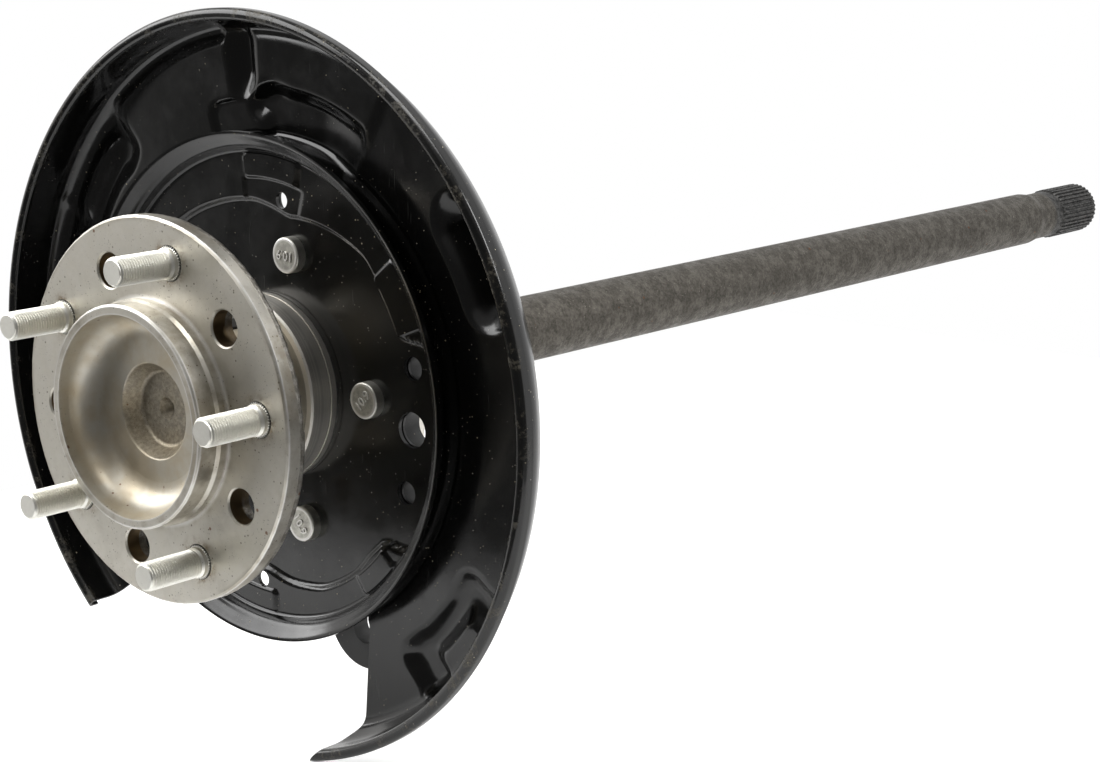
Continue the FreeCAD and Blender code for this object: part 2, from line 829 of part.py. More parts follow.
def make_balls_and_cage():
    def ball(thing, turn):
        bind(thing, "Radius", s.ball_radius)
    balls = compound("bearing_balls", ring_of("Part::Sphere", s.ball_count, s.ball_circle, bearing_middle,
                                              s.ball_phase, ball))
    parts.append(balls)

    pocket_radius = s.ball_radius + s.cage_ball_gap
    half_step = as_size(180) / s.ball_count + s.ball_phase
    rivet_start = bearing_middle - s.cage_thickness

    def rivet_hole(thing, turn):
        along_y(thing)
        bind(thing, "Radius", s.rivet_radius)
        bind(thing, "Height", s.cage_thickness * 2)

    for label, inboard in (("ball_cage_outboard", False), ("ball_cage_inboard", True)):
        # a flat ring with an arch over each ball, cut back to a narrow band and to its own side
        disc = doc.addObject("Part::Cylinder", label + "_disc")
        along_y(disc)
        bind(disc, "Radius", s.ball_circle + s.cage_half_width)
        bind(disc, "Height", s.cage_thickness)
        start = bearing_middle if inboard else rivet_start
        bind(disc, "Placement.Base.y", start)

        inner_place = s.ball_circle - s.cage_half_width * 2

        def arch(thing, turn):
            along_radius(thing, turn)
            bind(thing, "Radius", pocket_radius + s.cage_thickness)
            bind(thing, "Height", s.cage_half_width * 4)
        arches = ring_of("Part::Cylinder", s.ball_count, inner_place, bearing_middle, s.ball_phase, arch)
        raised = doc.addObject("Part::MultiFuse", label + "_raised")
        raised.Shapes = [disc] + arches

        band_depth = pocket_radius + s.cage_thickness + 1
        band_outer = doc.addObject("Part::Cylinder", label + "_band_outer")
        band_inner = doc.addObject("Part::Cylinder", label + "_band_inner")
        for cylinder, radius in (
            (band_outer, s.ball_circle + s.cage_half_width),
            (band_inner, s.ball_circle - s.cage_half_width),
        ):
            along_y(cylinder)
            bind(cylinder, "Radius", radius)
            bind(cylinder, "Height", band_depth)
            bind(cylinder, "Placement.Base.y", bearing_middle if inboard else bearing_middle - band_depth)
        band = doc.addObject("Part::Cut", label + "_band")
        band.Base = band_outer
        band.Tool = band_inner
        half = doc.addObject("Part::MultiCommon", label + "_half")
        half.Shapes = [raised, band]

        def pocket(thing, turn):
            along_radius(thing, turn)
            bind(thing, "Radius", pocket_radius)
            bind(thing, "Height", s.cage_half_width * 4)
        pockets = ring_of("Part::Cylinder", s.ball_count, inner_place, bearing_middle, s.ball_phase, pocket)
        holes = ring_of("Part::Cylinder", s.ball_count, s.ball_circle, rivet_start, half_step, rivet_hole)
        cutter = compound(label + "_cutter", pockets + holes)
        cage = doc.addObject("Part::Cut", label)
        cage.Base = half
        cage.Tool = cutter
        cage.Label = label
        parts.append(cage)

    def shank(thing, turn):
        along_y(thing)
        bind(thing, "Radius", s.rivet_radius)
        bind(thing, "Height", s.cage_thickness * 2)

    def head(thing, turn):
        along_y(thing)
        bind(thing, "Radius", s.rivet_head_radius)
        bind(thing, "Height", s.rivet_head_height)
    shanks = ring_of("Part::Cylinder", s.ball_count, s.ball_circle, rivet_start, half_step, shank)
    heads_out = ring_of("Part::Cylinder", s.ball_count, s.ball_circle,
                        rivet_start - s.rivet_head_height, half_step, head)
    heads_in = ring_of("Part::Cylinder", s.ball_count, s.ball_circle,
                       bearing_middle + s.cage_thickness, half_step, head)
    rivets = doc.addObject("Part::MultiFuse", "cage_rivets")
    rivets.Shapes = shanks + heads_out + heads_in
    rivets.Label = "cage_rivets"
    parts.append(rivets)


def make_bearing_case():
    body = new_body("bearing_case")
    rib_start = s.bearing_start - s.case_rib_width
    groove_start = s.snout_front + s.snout_groove_place
    groove_end = groove_start + s.snout_groove_width
    ring_groove_radius = s.bearing_outer_radius + s.case_ring_depth
    o_ring_middle = case_back + s.o_ring_place
    o_groove_half = s.o_ring_radius * 1.3
    pilot = s.snout_radius - s.case_pilot_step
    o_groove_radius = pilot - s.o_ring_radius * 2 - s.o_ring_squeeze * 2
    turn_round(body, [
        (s.snout_front, s.bearing_outer_radius + s.snout_chamfer),
        (s.snout_front, s.snout_radius - s.snout_chamfer),
        (s.snout_front + s.snout_chamfer, s.snout_radius),
        (groove_start, s.snout_radius),
        (groove_start, s.snout_radius - s.snout_groove_depth),
        (groove_end, s.snout_radius - s.snout_groove_depth),
        (groove_end, s.snout_radius),
        (bracket_back, s.snout_radius),
        (bracket_back, s.case_flange_radius - s.case_edge_chamfer),
        (bracket_back + s.case_edge_chamfer, s.case_flange_radius),
        (case_back - s.case_edge_chamfer, s.case_flange_radius),
        (case_back, s.case_flange_radius - s.case_edge_chamfer),
        (case_back, pilot),
        (o_ring_middle - o_groove_half, pilot),
        (o_ring_middle - o_groove_half, o_groove_radius),
        (o_ring_middle + o_groove_half, o_groove_radius),
        (o_ring_middle + o_groove_half, pilot),
        (case_end - s.snout_chamfer, pilot),
        (case_end, pilot - s.snout_chamfer),
        (case_end, s.bearing_outer_radius),
        (bearing_end + s.case_ring_width, s.bearing_outer_radius),
        (bearing_end + s.case_ring_width, ring_groove_radius),
        (bearing_end, ring_groove_radius),
        (bearing_end, s.bearing_outer_radius),
        (s.bearing_start, s.bearing_outer_radius),
        (s.bearing_start, s.case_rib_radius),
        (rib_start, s.case_rib_radius),
        (rib_start, s.bearing_outer_radius),
        (s.snout_front + s.snout_chamfer, s.bearing_outer_radius),
    ])
    holes = hole(body, s.bolt_shoulder_radius + s.bolt_hole_gap, s.bolt_circle, s.bolt_angle,
                 bracket_back, s.case_flange_thickness)
    repeat(body, [holes], s.bolt_count)
    torus_body("case_o_ring", pilot - s.o_ring_radius - s.o_ring_squeeze, s.o_ring_radius, o_ring_middle)


def open_ring(label, inner, outer, start, width, opening):
    # a flat snap ring with a gap at the top and rounded ends
    body = new_body(label)
    half = opening / 2

    def draw(sketch):
        draw_sector(sketch, inner, outer, half + 90, -half + 90 + 360, (outer - inner) / 3)
    prism(body, draw, start, width, "PartDesign::Pad", True)


def make_snap_rings():
    groove = s.bearing_outer_radius + s.case_ring_depth - s.ring_slack
    open_ring("case_snap_ring", groove - s.case_ring_height, groove, bearing_end,
              s.case_ring_width - s.ring_slack, s.case_ring_opening)
    groove = s.seat_radius - s.shaft_ring_depth + s.ring_slack
    open_ring("shaft_snap_ring", groove, groove + s.shaft_ring_height, tone_end,
              s.shaft_ring_width - s.ring_slack, s.shaft_ring_opening)


def make_oil_seal():
    case = new_body("oil_seal_case")
    inner_wall = s.bearing_outer_radius - s.seal_wall
    flange_end = seal_front + s.seal_wall
    turn_round(case, [
        (seal_front, s.seal_flange_radius),
        (seal_front, s.bearing_outer_radius),
        (seal_back, s.bearing_outer_radius),
        (seal_back, inner_wall),
        (flange_end, inner_wall),
        (flange_end, s.seal_flange_radius),
    ])
    lip = new_body("oil_seal_lip")
    lip_radius = s.journal_radius + s.seal_lip_gap
    back_radius = lip_radius + s.seal_wall * 2
    lip_back = seal_back - s.seal_wall
    turn_round(lip, [
        (seal_front, lip_radius + 1.2),
        (seal_front, s.seal_flange_radius),
        (flange_end, s.seal_flange_radius),
        (flange_end + s.seal_wall, back_radius),
        (lip_back, back_radius),
        (lip_back, lip_radius + 1),
        (lip_back - s.seal_wall * 2, lip_radius),
    ])
    torus_body("seal_garter_spring", back_radius + s.garter_radius + s.ring_slack, s.garter_radius,
               lip_back - s.seal_wall)


def make_shaft_rings():
    retainer = new_body("bearing_retainer")
    turn_round(retainer, [
        (bearing_end, s.seat_radius + s.ring_chamfer),
        (bearing_end, s.inner_land_radius),
        (bearing_end + s.ring_chamfer, s.retainer_radius),
        (retainer_end - s.ring_chamfer, s.retainer_radius),
        (retainer_end, s.retainer_radius - s.ring_chamfer),
        (retainer_end, s.seat_radius),
        (bearing_end + s.ring_chamfer, s.seat_radius),
    ])
    tone = new_body("abs_tone_ring")
    web_start = retainer_end + s.tone_width * 0.45
    turn_round(tone, [
        (retainer_end, s.seat_radius),
        (retainer_end, s.tone_hub_radius),
        (web_start, s.tone_hub_radius),
        (web_start, s.tone_radius),
        (tone_end, s.tone_radius),
        (tone_end, s.seat_radius),
    ])

    def draw_slot(sketch):
        half = s.tone_slot_width / 2
        draw_outline(sketch, [
            (s.tone_root_radius, -half), (s.tone_radius + 1, -half),
            (s.tone_radius + 1, half), (s.tone_root_radius, half),
        ])
    slot = prism(tone, draw_slot, retainer_end, s.tone_width, "PartDesign::Pocket", True)
    repeat(tone, [slot], s.tone_teeth)


def stamp(body, front, thickness, shapes):
    # each shape pushes the sheet by a depth, to the wheel's side if it is raised, with sloped walls
    back = front + thickness
    for draw, depth, raised, taper in shapes:
        if raised:
            prism(body, draw, front, depth, "PartDesign::Pad", False, taper)
        else:
            prism(body, draw, back, depth, "PartDesign::Pad", True, taper)
    for draw, depth, raised, taper in shapes:
        if raised:
            prism(body, draw, back, depth, "PartDesign::Pocket", False, taper)
        else:
            prism(body, draw, front, depth, "PartDesign::Pocket", True, taper)


def sector(inner, outer, start, stop, corner):
    def draw(sketch):
        draw_sector(sketch, inner, outer, start, stop, as_size(corner))
    return draw


def plate_holes(body, station, depth):
    # the holes that go through plate and shield alike
    for radius, circle, angle in (
        (s.hold_hole_radius, s.hold_top_circle, s.hold_top_angle),
        (s.hold_hole_radius, s.hold_foot_circle, s.hold_foot_angle),
    ):
        hole(body, radius, circle, angle, station, depth)
    anchor_holes(body, station, depth)


def anchor_holes(body, station, depth):
    for radius, circle, angle in (
        (s.anchor_hole_radius, s.anchor_circle, s.anchor_upper_angle),
        (s.anchor_hole_radius, s.anchor_circle, s.anchor_lower_angle),
        (s.cable_hole_radius, s.cable_circle, s.cable_angle),
    ):
        hole(body, radius, circle, angle, station, depth)


def bolt_holes(body, station, depth):
    first = hole(body, s.bolt_shoulder_radius + s.bolt_hole_gap, s.bolt_circle, s.bolt_angle, station, depth)
    repeat(body, [first], s.bolt_count)


# Edge of the brake shoes' track, as (angle, radius): inside it the plate is pushed back to its seat
track_edge = [
    (46.0, 101.0), (63.0, 94.8), (79.0, 88.9), (94.0, 93.8), (112.0, 96.0), (130.0, 99.5), (158.0, 100.5),
    (188.0, 100.0), (218.0, 99.0), (246.0, 97.0), (268.0, 95.4), (277.5, 100.4), (291.0, 104.6),
    (305.0, 104.6), (313.0, 102.2), (321.0, 103.4), (324.5, 118.5), (351.0, 121.0), (377.5, 118.5),
    (380.5, 99.0), (393.0, 98.6),
]

# The shield's corner recess as (angle, share of the floor): an arc with a groove up to the wall
corner_recess = [
    (60.0, 0.073), (60.0, 0.364), (76.0, 0.378), (92.4, 0.364), (92.4, 0.818), (98.4, 0.818),
    (98.4, 0.073), (85.0, 0.087), (72.0, 0.087),
]


def ring_outline(spots, sharpest):
    # a closed outline through (angle, radius) corners: gentle ones are rounded as far as they allow
    def draw(sketch):
        points = []
        for angle, radius in spots:
            turn = math.radians(angle)
            reach = as_size(radius).value
            points.append(Vector(reach * math.cos(turn), reach * math.sin(turn), 0))
        corners = []
        for index, here in enumerate(points):
            before = points[index - 1] - here
            after = points[(index + 1) % len(points)] - here
            half = before.getAngle(after) / 2
            fits = 0.47 * min(before.Length, after.Length) * math.tan(half)
            if half < math.radians(65):
                fits = min(fits, sharpest)
            spot = as_size(spots[index][1])
            turn = as_size(spots[index][0])
            corners.append((spot * cosine(turn), spot * sine(turn), as_size(round(min(fits, 90), 2))))
        draw_outline(sketch, corners)
    return draw


def make_backing_plate():
    body = new_body("backing_plate")
    bore = s.snout_radius + s.plate_bore_gap
    track_front = s.plate_face - s.plate_track_height
    track_back = track_front + s.plate_thickness
    turn_round(body, [
        (track_front, bore),
        (track_front, s.plate_rim_foot, s.plate_thickness),
        (s.plate_rim_front, s.plate_rim_radius - s.plate_rim_edge, s.plate_rim_edge * 0.3),
        (s.plate_rim_front, s.plate_rim_radius, s.plate_rim_edge * 0.3),
        (track_back, s.plate_rim_back, s.plate_thickness * 1.5),
        (track_back, bore),
    ])
    slope = -45
    stamp(body, track_front, s.plate_thickness, [
        (ring_outline(track_edge, 9), s.plate_track_height, False, -58),
        (sector(s.top_pad_inner, s.pad_outer, s.top_pad_start, s.top_pad_stop, 3),
         s.plate_pad_height, True, slope),
        (sector(s.hold_pad_inner, s.hold_pad_outer, s.hold_pad_start, s.hold_pad_stop, 3),
         s.plate_low_pad_height, True, slope),
        (sector(s.foot_pad_inner, s.pad_outer, s.foot_pad_start, s.foot_pad_stop, 3),
         s.plate_pad_height, True, slope),
        (sector(s.upper_pad_inner, s.pad_outer, s.upper_pad_start, s.upper_pad_stop, 4),
         s.plate_pad_height, True, slope),
        (sector(s.lower_pad_inner, s.pad_outer, s.lower_pad_start, s.lower_pad_stop, 4),
         s.plate_pad_height, True, slope),
    ])
    hole_start = track_front - s.plate_pad_height
    depth = plate_back - hole_start
    hole(body, bore, nothing, nothing, hole_start, depth)
    plate_holes(body, hole_start, depth)
    bolt_holes(body, track_front, s.plate_face + s.plate_thickness - track_front)


def across_floor(share):
    # a place on the shield's floor: 0 at the foot of its step, 1 at the wall
    start = s.shield_rise_start + s.shield_rise_width
    return start + (s.shield_wall_radius - start) * share


def make_dust_shield():
    body = new_body("dust_shield")
    gauge = s.shield_thickness
    floor = plate_back - s.shield_rise
    bore = s.snout_radius + s.shield_bore_gap
    rise_end = s.shield_rise_start + s.shield_rise_width
    skirt_end = s.shield_front + s.roll_skirt
    turn_round(body, [
        (plate_back, bore),
        (plate_back, s.shield_rise_start),
        (floor, rise_end),
        (floor, s.shield_wall_radius, s.shield_wall_fillet),
        (s.shield_front, s.shield_wall_radius, s.roll_fillet),
        (s.shield_front, shield_edge, s.roll_fillet),
        (skirt_end, shield_edge),
        (skirt_end, shield_edge - gauge),
        (s.shield_front + gauge, shield_edge - gauge, s.roll_fillet - gauge),
        (s.shield_front + gauge, s.shield_wall_radius + gauge, s.roll_fillet - gauge),
        (floor + gauge, s.shield_wall_radius + gauge, s.shield_wall_fillet + gauge),
        (floor + gauge, rise_end),
        (shield_back, s.shield_rise_start),
        (shield_back, bore),
    ])
    slope = -40
    recess = [(angle, across_floor(share)) for angle, share in corner_recess]
    stamp(body, floor, gauge, [
        (ring_outline(recess, 5), s.recess_depth, False, -28),
        (sector(across_floor(s.low_panel_inner), across_floor(s.low_panel_outer),
                s.low_panel_start, s.low_panel_stop, 5), s.low_panel_depth, False, slope),
        (sector(across_floor(s.left_pocket_inner), across_floor(s.left_pocket_outer),
                s.left_pocket_start, s.left_pocket_stop, 6), s.recess_depth, False, -30),
        (sector(across_floor(s.right_floor_inner), across_floor(s.right_floor_outer),
                s.right_floor_start, s.right_floor_stop, 8), s.right_floor_depth, False, slope),
        (sector(across_floor(s.side_pocket_inner), across_floor(s.side_pocket_outer),
                s.side_pocket_start, s.side_pocket_stop, 9), s.side_pocket_depth, False, -18),
        (sector(across_floor(s.foot_pocket_inner), across_floor(s.foot_pocket_outer),
                s.foot_pocket_start, s.foot_pocket_stop, 6), s.foot_pocket_depth, False, slope),
    ])

    # opening for the caliper, from the rim inwards past the bracket's ears
    def draw_notch(sketch):
        outside = shield_edge + 15
        draw_outline(sketch, [
            (s.notch_right, -s.notch_inner * 0.9, s.notch_round),
            (s.notch_right_foot, -shield_edge * s.notch_foot, s.notch_round),
            (s.notch_lip, -shield_edge * s.notch_lip_foot, s.notch_round),
            (s.notch_tip_x - 3, -shield_edge - 1),
            (s.notch_tip_x - 8, -outside),
            (outside * cosine(s.notch_left_angle), -outside),
            (outside * cosine(s.notch_left_angle), outside * sine(s.notch_left_angle)),
            (s.notch_inner * cosine(s.notch_left_angle), s.notch_inner * sine(s.notch_left_angle),
             s.notch_round),
        ])
    prism(body, draw_notch, s.shield_front - 5, beyond + 10, "PartDesign::Pocket", True)
    plate_holes(body, plate_back, gauge)
    bolt_holes(body, plate_back, gauge)


def make_caliper_bracket():
    body = new_body("caliper_bracket")
    front = shield_back
    depth = s.bracket_thickness

    def draw_ring(sketch):
        draw_circle(sketch, s.bracket_radius, nothing, nothing)
    prism(body, draw_ring, front, depth, "PartDesign::Pad", True)
    for angle in (s.ear_right_angle, s.ear_left_angle):
        across = s.ear_circle * cosine(angle)
        up = s.ear_circle * sine(angle)

        def draw_ear(sketch):
            draw_circle(sketch, s.ear_radius, across, up)
        prism(body, draw_ear, front, depth, "PartDesign::Pad", True)

        def draw_neck(sketch):
            side_x = -sine(angle) * s.ear_neck_half
            side_z = cosine(angle) * s.ear_neck_half
            root_x = cosine(angle) * s.case_flange_radius * 0.5
            root_z = sine(angle) * s.case_flange_radius * 0.5
            draw_outline(sketch, [
                (root_x + side_x, root_z + side_z), (root_x - side_x, root_z - side_z),
                (across - side_x, up - side_z), (across + side_x, up + side_z),
            ])
        prism(body, draw_neck, front, depth, "PartDesign::Pad", True)
    lobe = sector(s.lobe_inner, s.lobe_outer, s.lobe_start, s.lobe_stop, s.lobe_round)
    prism(body, lobe, front, depth, "PartDesign::Pad", True)
    hole(body, s.snout_radius + s.plate_bore_gap, nothing, nothing, front, depth)
    hole(body, s.ear_hole_radius, s.ear_hole_circle, s.ear_hole_right_angle, front, depth)
    hole(body, s.ear_hole_radius, s.ear_hole_circle, s.ear_hole_left_angle, front, depth)
    anchor_holes(body, front, depth)
    bolt_holes(body, front, depth)


make_axle_shaft()
make_wheel_studs()
make_bearing()
make_balls_and_cage()
make_shaft_rings()
make_snap_rings()
make_bearing_case()
make_oil_seal()
make_backing_plate()
make_dust_shield()
make_caliper_bracket()
make_case_bolts()
doc.recompute()

# A sloped wall's outline now and then comes out empty, and is right when it is drawn afresh.
# The copies kept between the tries make the next outline land elsewhere in memory, which decides it.
drawn = []
for attempt in range(60):
    failed = [thing for thing in doc.Objects if "Invalid" in thing.State and hasattr(thing, "Profile")]
    if not failed:
        break
    for thing in failed:
        drawn += [thing.Profile[0].Shape.copy() for copy in range(attempt + 1)]
        thing.Profile[0].touch()
        thing.touch()
    doc.recompute()

# Nothing is written before every feature and every piece has been found sound
for thing in doc.Objects:
    if "Invalid" in thing.State or "Error" in thing.State:
        raise SystemExit("feature failed: {} {}".format(thing.Name, thing.State))
for part in parts:
    if part.Shape.isNull() or not part.Shape.isValid():
        raise SystemExit("bad shape: {}".format(part.Label))

os.makedirs("parts", exist_ok=True)
for part in parts:
    part.Shape.exportStep(os.path.join("parts", part.Label + ".step"))
    print("{:26s} {:3d} solids {:12.1f} mm3".format(part.Label, len(part.Shape.Solids), part.Shape.Volume))
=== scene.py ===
import math

import bpy
from mathutils import Matrix, Vector


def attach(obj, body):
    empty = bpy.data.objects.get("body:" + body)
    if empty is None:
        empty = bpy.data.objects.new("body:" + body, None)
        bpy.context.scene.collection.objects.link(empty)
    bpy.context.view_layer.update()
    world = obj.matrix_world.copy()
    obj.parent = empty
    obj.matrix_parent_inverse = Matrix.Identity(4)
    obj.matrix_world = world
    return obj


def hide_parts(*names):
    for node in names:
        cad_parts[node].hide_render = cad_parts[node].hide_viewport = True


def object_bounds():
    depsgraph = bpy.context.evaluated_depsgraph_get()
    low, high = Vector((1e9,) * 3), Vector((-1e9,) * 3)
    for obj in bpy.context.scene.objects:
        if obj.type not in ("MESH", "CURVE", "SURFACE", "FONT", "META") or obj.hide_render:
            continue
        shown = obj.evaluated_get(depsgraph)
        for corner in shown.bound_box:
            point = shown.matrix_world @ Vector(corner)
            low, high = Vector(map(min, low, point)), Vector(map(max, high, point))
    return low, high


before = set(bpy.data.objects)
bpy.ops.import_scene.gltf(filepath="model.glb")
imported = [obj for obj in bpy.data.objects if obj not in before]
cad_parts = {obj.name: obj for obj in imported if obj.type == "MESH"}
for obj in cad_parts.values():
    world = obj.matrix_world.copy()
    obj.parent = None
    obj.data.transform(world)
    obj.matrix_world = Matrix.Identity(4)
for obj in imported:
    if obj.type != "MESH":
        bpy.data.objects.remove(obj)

cadBox = [list(corner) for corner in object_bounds()]
mm = 0.001
print("frame loaded")


# small helpers

def deselectAll():
    if bpy.context.object and bpy.context.object.mode != "OBJECT":
        bpy.ops.object.mode_set(mode="OBJECT")
    bpy.ops.object.select_all(action="DESELECT")


def pickOnly(piece):
    deselectAll()
    piece.select_set(True)
    bpy.context.view_layer.objects.active = piece


def applyPlace(piece):
    pickOnly(piece)
    bpy.ops.object.transform_apply(location=True, rotation=True, scale=True)


def applyModifier(piece, kind, **settings):
    modifier = piece.modifiers.new(kind.lower(), kind)
    for name, value in settings.items():
        setattr(modifier, name, value)
    pickOnly(piece)
    bpy.ops.object.modifier_apply(modifier=modifier.name)


def wholeMesh(piece):
    # edit mode with everything selected
    pickOnly(piece)
    bpy.ops.object.mode_set(mode="EDIT")
    bpy.ops.mesh.select_all(action="SELECT")


def leaveMesh():
    bpy.ops.object.mode_set(mode="OBJECT")


def cleanMesh(piece, sharpest):
    wholeMesh(piece)
    bpy.ops.mesh.remove_doubles(threshold=0.01 * mm)
    bpy.ops.mesh.normals_make_consistent(inside=False)
    leaveMesh()
    bpy.ops.object.shade_smooth_by_angle(angle=math.radians(sharpest))


def joinPieces(first, others):
    pickOnly(first)
    for other in others:
        other.select_set(True)
    bpy.ops.object.join()
    return first


def copyOf(piece, name):
    twin = piece.copy()
    twin.data = piece.data.copy()
    twin.name = name
    bpy.context.collection.objects.link(twin)
    return twin


def polar(radius, angle):
    turn = math.radians(angle)
    return radius * math.cos(turn), radius * math.sin(turn)


def meshPiece(name, spots, faces=()):
    # without faces, a line through the spots
    edges = [] if faces else [(i, i + 1) for i in range(len(spots) - 1)]
    mesh = bpy.data.meshes.new(name)
    mesh.from_pydata(spots, edges, faces)
    piece = bpy.data.objects.new(name, mesh)
    bpy.context.collection.objects.link(piece)
    return piece


def turnOutwards(piece):
    wholeMesh(piece)
    bpy.ops.mesh.normals_make_consistent(inside=False)
    leaveMesh()


def turnProfile(name, profile, steps):
    # profile: (radius, along) in mm, spun round the Y axis
    spots = [(radius * mm, along * mm, 0) for radius, along in profile]
    piece = meshPiece(name, spots)
    wholeMesh(piece)
    bpy.ops.mesh.spin(steps=steps, angle=2 * math.pi, center=(0, 0, 0), axis=(0, 1, 0))
    bpy.ops.mesh.select_all(action="SELECT")
    bpy.ops.mesh.remove_doubles(threshold=0.004 * mm)
    bpy.ops.mesh.normals_make_consistent(inside=False)
    leaveMesh()
    return piece


# studio

studio = {
    "cameraPlace": (0.84415, -0.689285, 0.251657),
    "cameraAim": (-0.008196, 0.300, -0.036363),
    "focalLength": 75.63,
    "sensorWidth": 36,
    "clipStart": 0.05,
    "floorGap": 0.0005,
    "floorBox": ((-0.50, -0.19), (0.60, 1.20)),
    "floorColour": (0.9, 0.9, 0.9, 1),
    "floorRoughness": 0.9,
    "floorGlow": 0.35,       # for the camera alone
    # the room that glossy surfaces see: brightness of a side, then where it fades in
    "roomColour": (1, 0.99, 0.97, 1),
    "front": 0.12,
    "left": (1.1, -0.74, -0.85),
    "above": (0.40, 0.40, 0.75),
    "behind": (1.0, 0.30, 0.70),
    "right": (0.16, 0.55, 0.85),
    "lamps": [  # name, place, aim, size, watts
        ("leftBox", (-1.10, -0.62, 0.95), (0, 0.1, 0.0), (1.3, 1.3), 28),
        ("topBox", (0.25, 0.10, 1.6), (0, 0.25, 0), (1.2, 0.7), 17),
        ("rightBox", (1.3, 0.55, 1.1), (0, 0.3, 0), (0.4, 0.7), 9),
    ],
}


def standAndAim(name, thing, place, aim):
    stand = bpy.data.objects.new(name, thing)
    stand.location = place
    stand.rotation_euler = (Vector(aim) - Vector(place)).to_track_quat("-Z", "Y").to_euler()
    bpy.context.collection.objects.link(stand)
    return stand


def makeStudio():
    scene = bpy.context.scene
    scene.view_settings.view_transform = "Standard"
    camera = bpy.data.cameras.new("photoCamera")
    camera.lens = studio["focalLength"]
    camera.sensor_width = studio["sensorWidth"]
    camera.clip_start = studio["clipStart"]
    scene.camera = standAndAim("photoCamera", camera, studio["cameraPlace"], studio["cameraAim"])
    for name, place, aim, size, watts in studio["lamps"]:
        lamp = bpy.data.lights.new(name, "AREA")
        lamp.shape = "RECTANGLE"
        lamp.size, lamp.size_y = size
        lamp.energy = watts
        standAndAim(name, lamp, place, aim)


# node helpers

def addNode(tree, kind, inputs=None, **settings):
    node = tree.nodes.new("ShaderNode" + kind)
    for name, value in settings.items():
        setattr(node, name, value)
    for name, value in (inputs or {}).items():
        giveSocket(tree, node.inputs[name], value)
    return node


def giveSocket(tree, socket, value):
    if isinstance(value, bpy.types.NodeSocket):
        tree.links.new(value, socket)
    else:
        socket.default_value = value


def calc(tree, operation, *values, clamp=False):
    node = addNode(tree, "Math", operation=operation, use_clamp=clamp)
    for socket, value in zip(node.inputs, values):
        giveSocket(tree, socket, value)
    return node.outputs[0]


def mix(tree, kind, socket, share, first, second):
    node = addNode(tree, "Mix", {0: share, socket: first, socket + 1: second}, data_type=kind)
    return node.outputs[2 if kind == "RGBA" else 0]


def softStep(tree, value, start, stop):
    # 0 at start, 1 at stop, whichever of them is the larger
    span = {"Value": value, "From Min": min(start, stop), "From Max": max(start, stop)}
    if start > stop:
        span.update({"To Min": 1, "To Max": 0})
    return addNode(tree, "MapRange", span, interpolation_type="SMOOTHSTEP").outputs["Result"]


def product(tree, first, second):
    return calc(tree, "MULTIPLY", first, second)


def noise(tree, place, scale, detail, roughness=0.5):
    return addNode(tree, "TexNoise", {"Vector": place, "Scale": scale, "Detail": detail,
                                      "Roughness": roughness}).outputs[0]


def newGroup(name, inputs, outputs):
    # an input is a number where it has one here, and else a vector; each output is a number
    tree = bpy.data.node_groups.new(name, "ShaderNodeTree")
    for label, value in inputs.items():
        kind = "Vector" if value is None else "Float"
        socket = tree.interface.new_socket(label, in_out="INPUT", socket_type="NodeSocket" + kind)
        if value is not None:
            socket.default_value = value
    for label in outputs:
        tree.interface.new_socket(label, in_out="OUTPUT", socket_type="NodeSocketFloat")
    return tree, tree.nodes.new("NodeGroupInput").outputs, tree.nodes.new("NodeGroupOutput").inputs


def useGroup(tree, group, **inputs):
    node = tree.nodes.new("ShaderNodeGroup")
    node.node_tree = group
    for name, value in inputs.items():
        giveSocket(tree, node.inputs[name], value)
    return node.outputs


def makeAxlePlace():
    # radius from the axle, place along it and turn round it, all in mm and degrees
    tree, given, out = newGroup("axlePlace", {"Place": None}, ["Radius", "Along", "Turn"])
    split = addNode(tree, "SeparateXYZ", {"Vector": given["Place"]})
    flat = addNode(tree, "CombineXYZ", {"X": split.outputs["X"], "Y": split.outputs["Z"]})
    length = addNode(tree, "VectorMath", {0: flat.outputs[0]}, operation="LENGTH")
    tree.links.new(product(tree, length.outputs["Value"], 1000), out["Radius"])
    tree.links.new(product(tree, split.outputs["Y"], 1000), out["Along"])
    turn = calc(tree, "ARCTAN2", split.outputs["Z"], split.outputs["X"])
    tree.links.new(product(tree, turn, 180 / math.pi), out["Turn"])
    return tree


def makeSpecks():
    # small round dots, one in each cell that chance picks
    tree, given, out = newGroup("specks", {"Place": None, "Scale": 500, "Share": 0.2, "Size": 0.2},
                                ["Mask", "Tint"])
    cells = addNode(tree, "TexVoronoi", {"Vector": given["Place"], "Scale": given["Scale"]})
    chance = addNode(tree, "SeparateColor", {"Color": cells.outputs["Color"]})
    picked = calc(tree, "LESS_THAN", chance.outputs[0], given["Share"])
    reach = product(tree, given["Size"], calc(tree, "ADD", chance.outputs[1], 0.35))
    near = calc(tree, "SUBTRACT", 1, calc(tree, "DIVIDE", cells.outputs["Distance"], reach), clamp=True)
    dot = calc(tree, "MULTIPLY", near, 2.5, clamp=True)
    tree.links.new(product(tree, dot, picked), out["Mask"])
    tree.links.new(chance.outputs[2], out["Tint"])
    return tree


def makeMottle():
    # cloudy variation from two noises, 0 to 1
    tree, given, out = newGroup("mottle", {"Place": None, "Scale": 60, "Low": 0.35, "High": 0.65},
                                ["Value"])
    broad = noise(tree, given["Place"], given["Scale"], 5, 0.62)
    fine = noise(tree, given["Place"], product(tree, given["Scale"], 4.7), 4, 0.6)
    both = calc(tree, "ADD", product(tree, broad, 0.68), product(tree, fine, 0.32))
    span = addNode(tree, "MapRange", {"Value": both, "From Min": given["Low"], "From Max": given["High"]},
                   interpolation_type="SMOOTHSTEP")
    tree.links.new(span.outputs["Result"], out["Value"])
    return tree


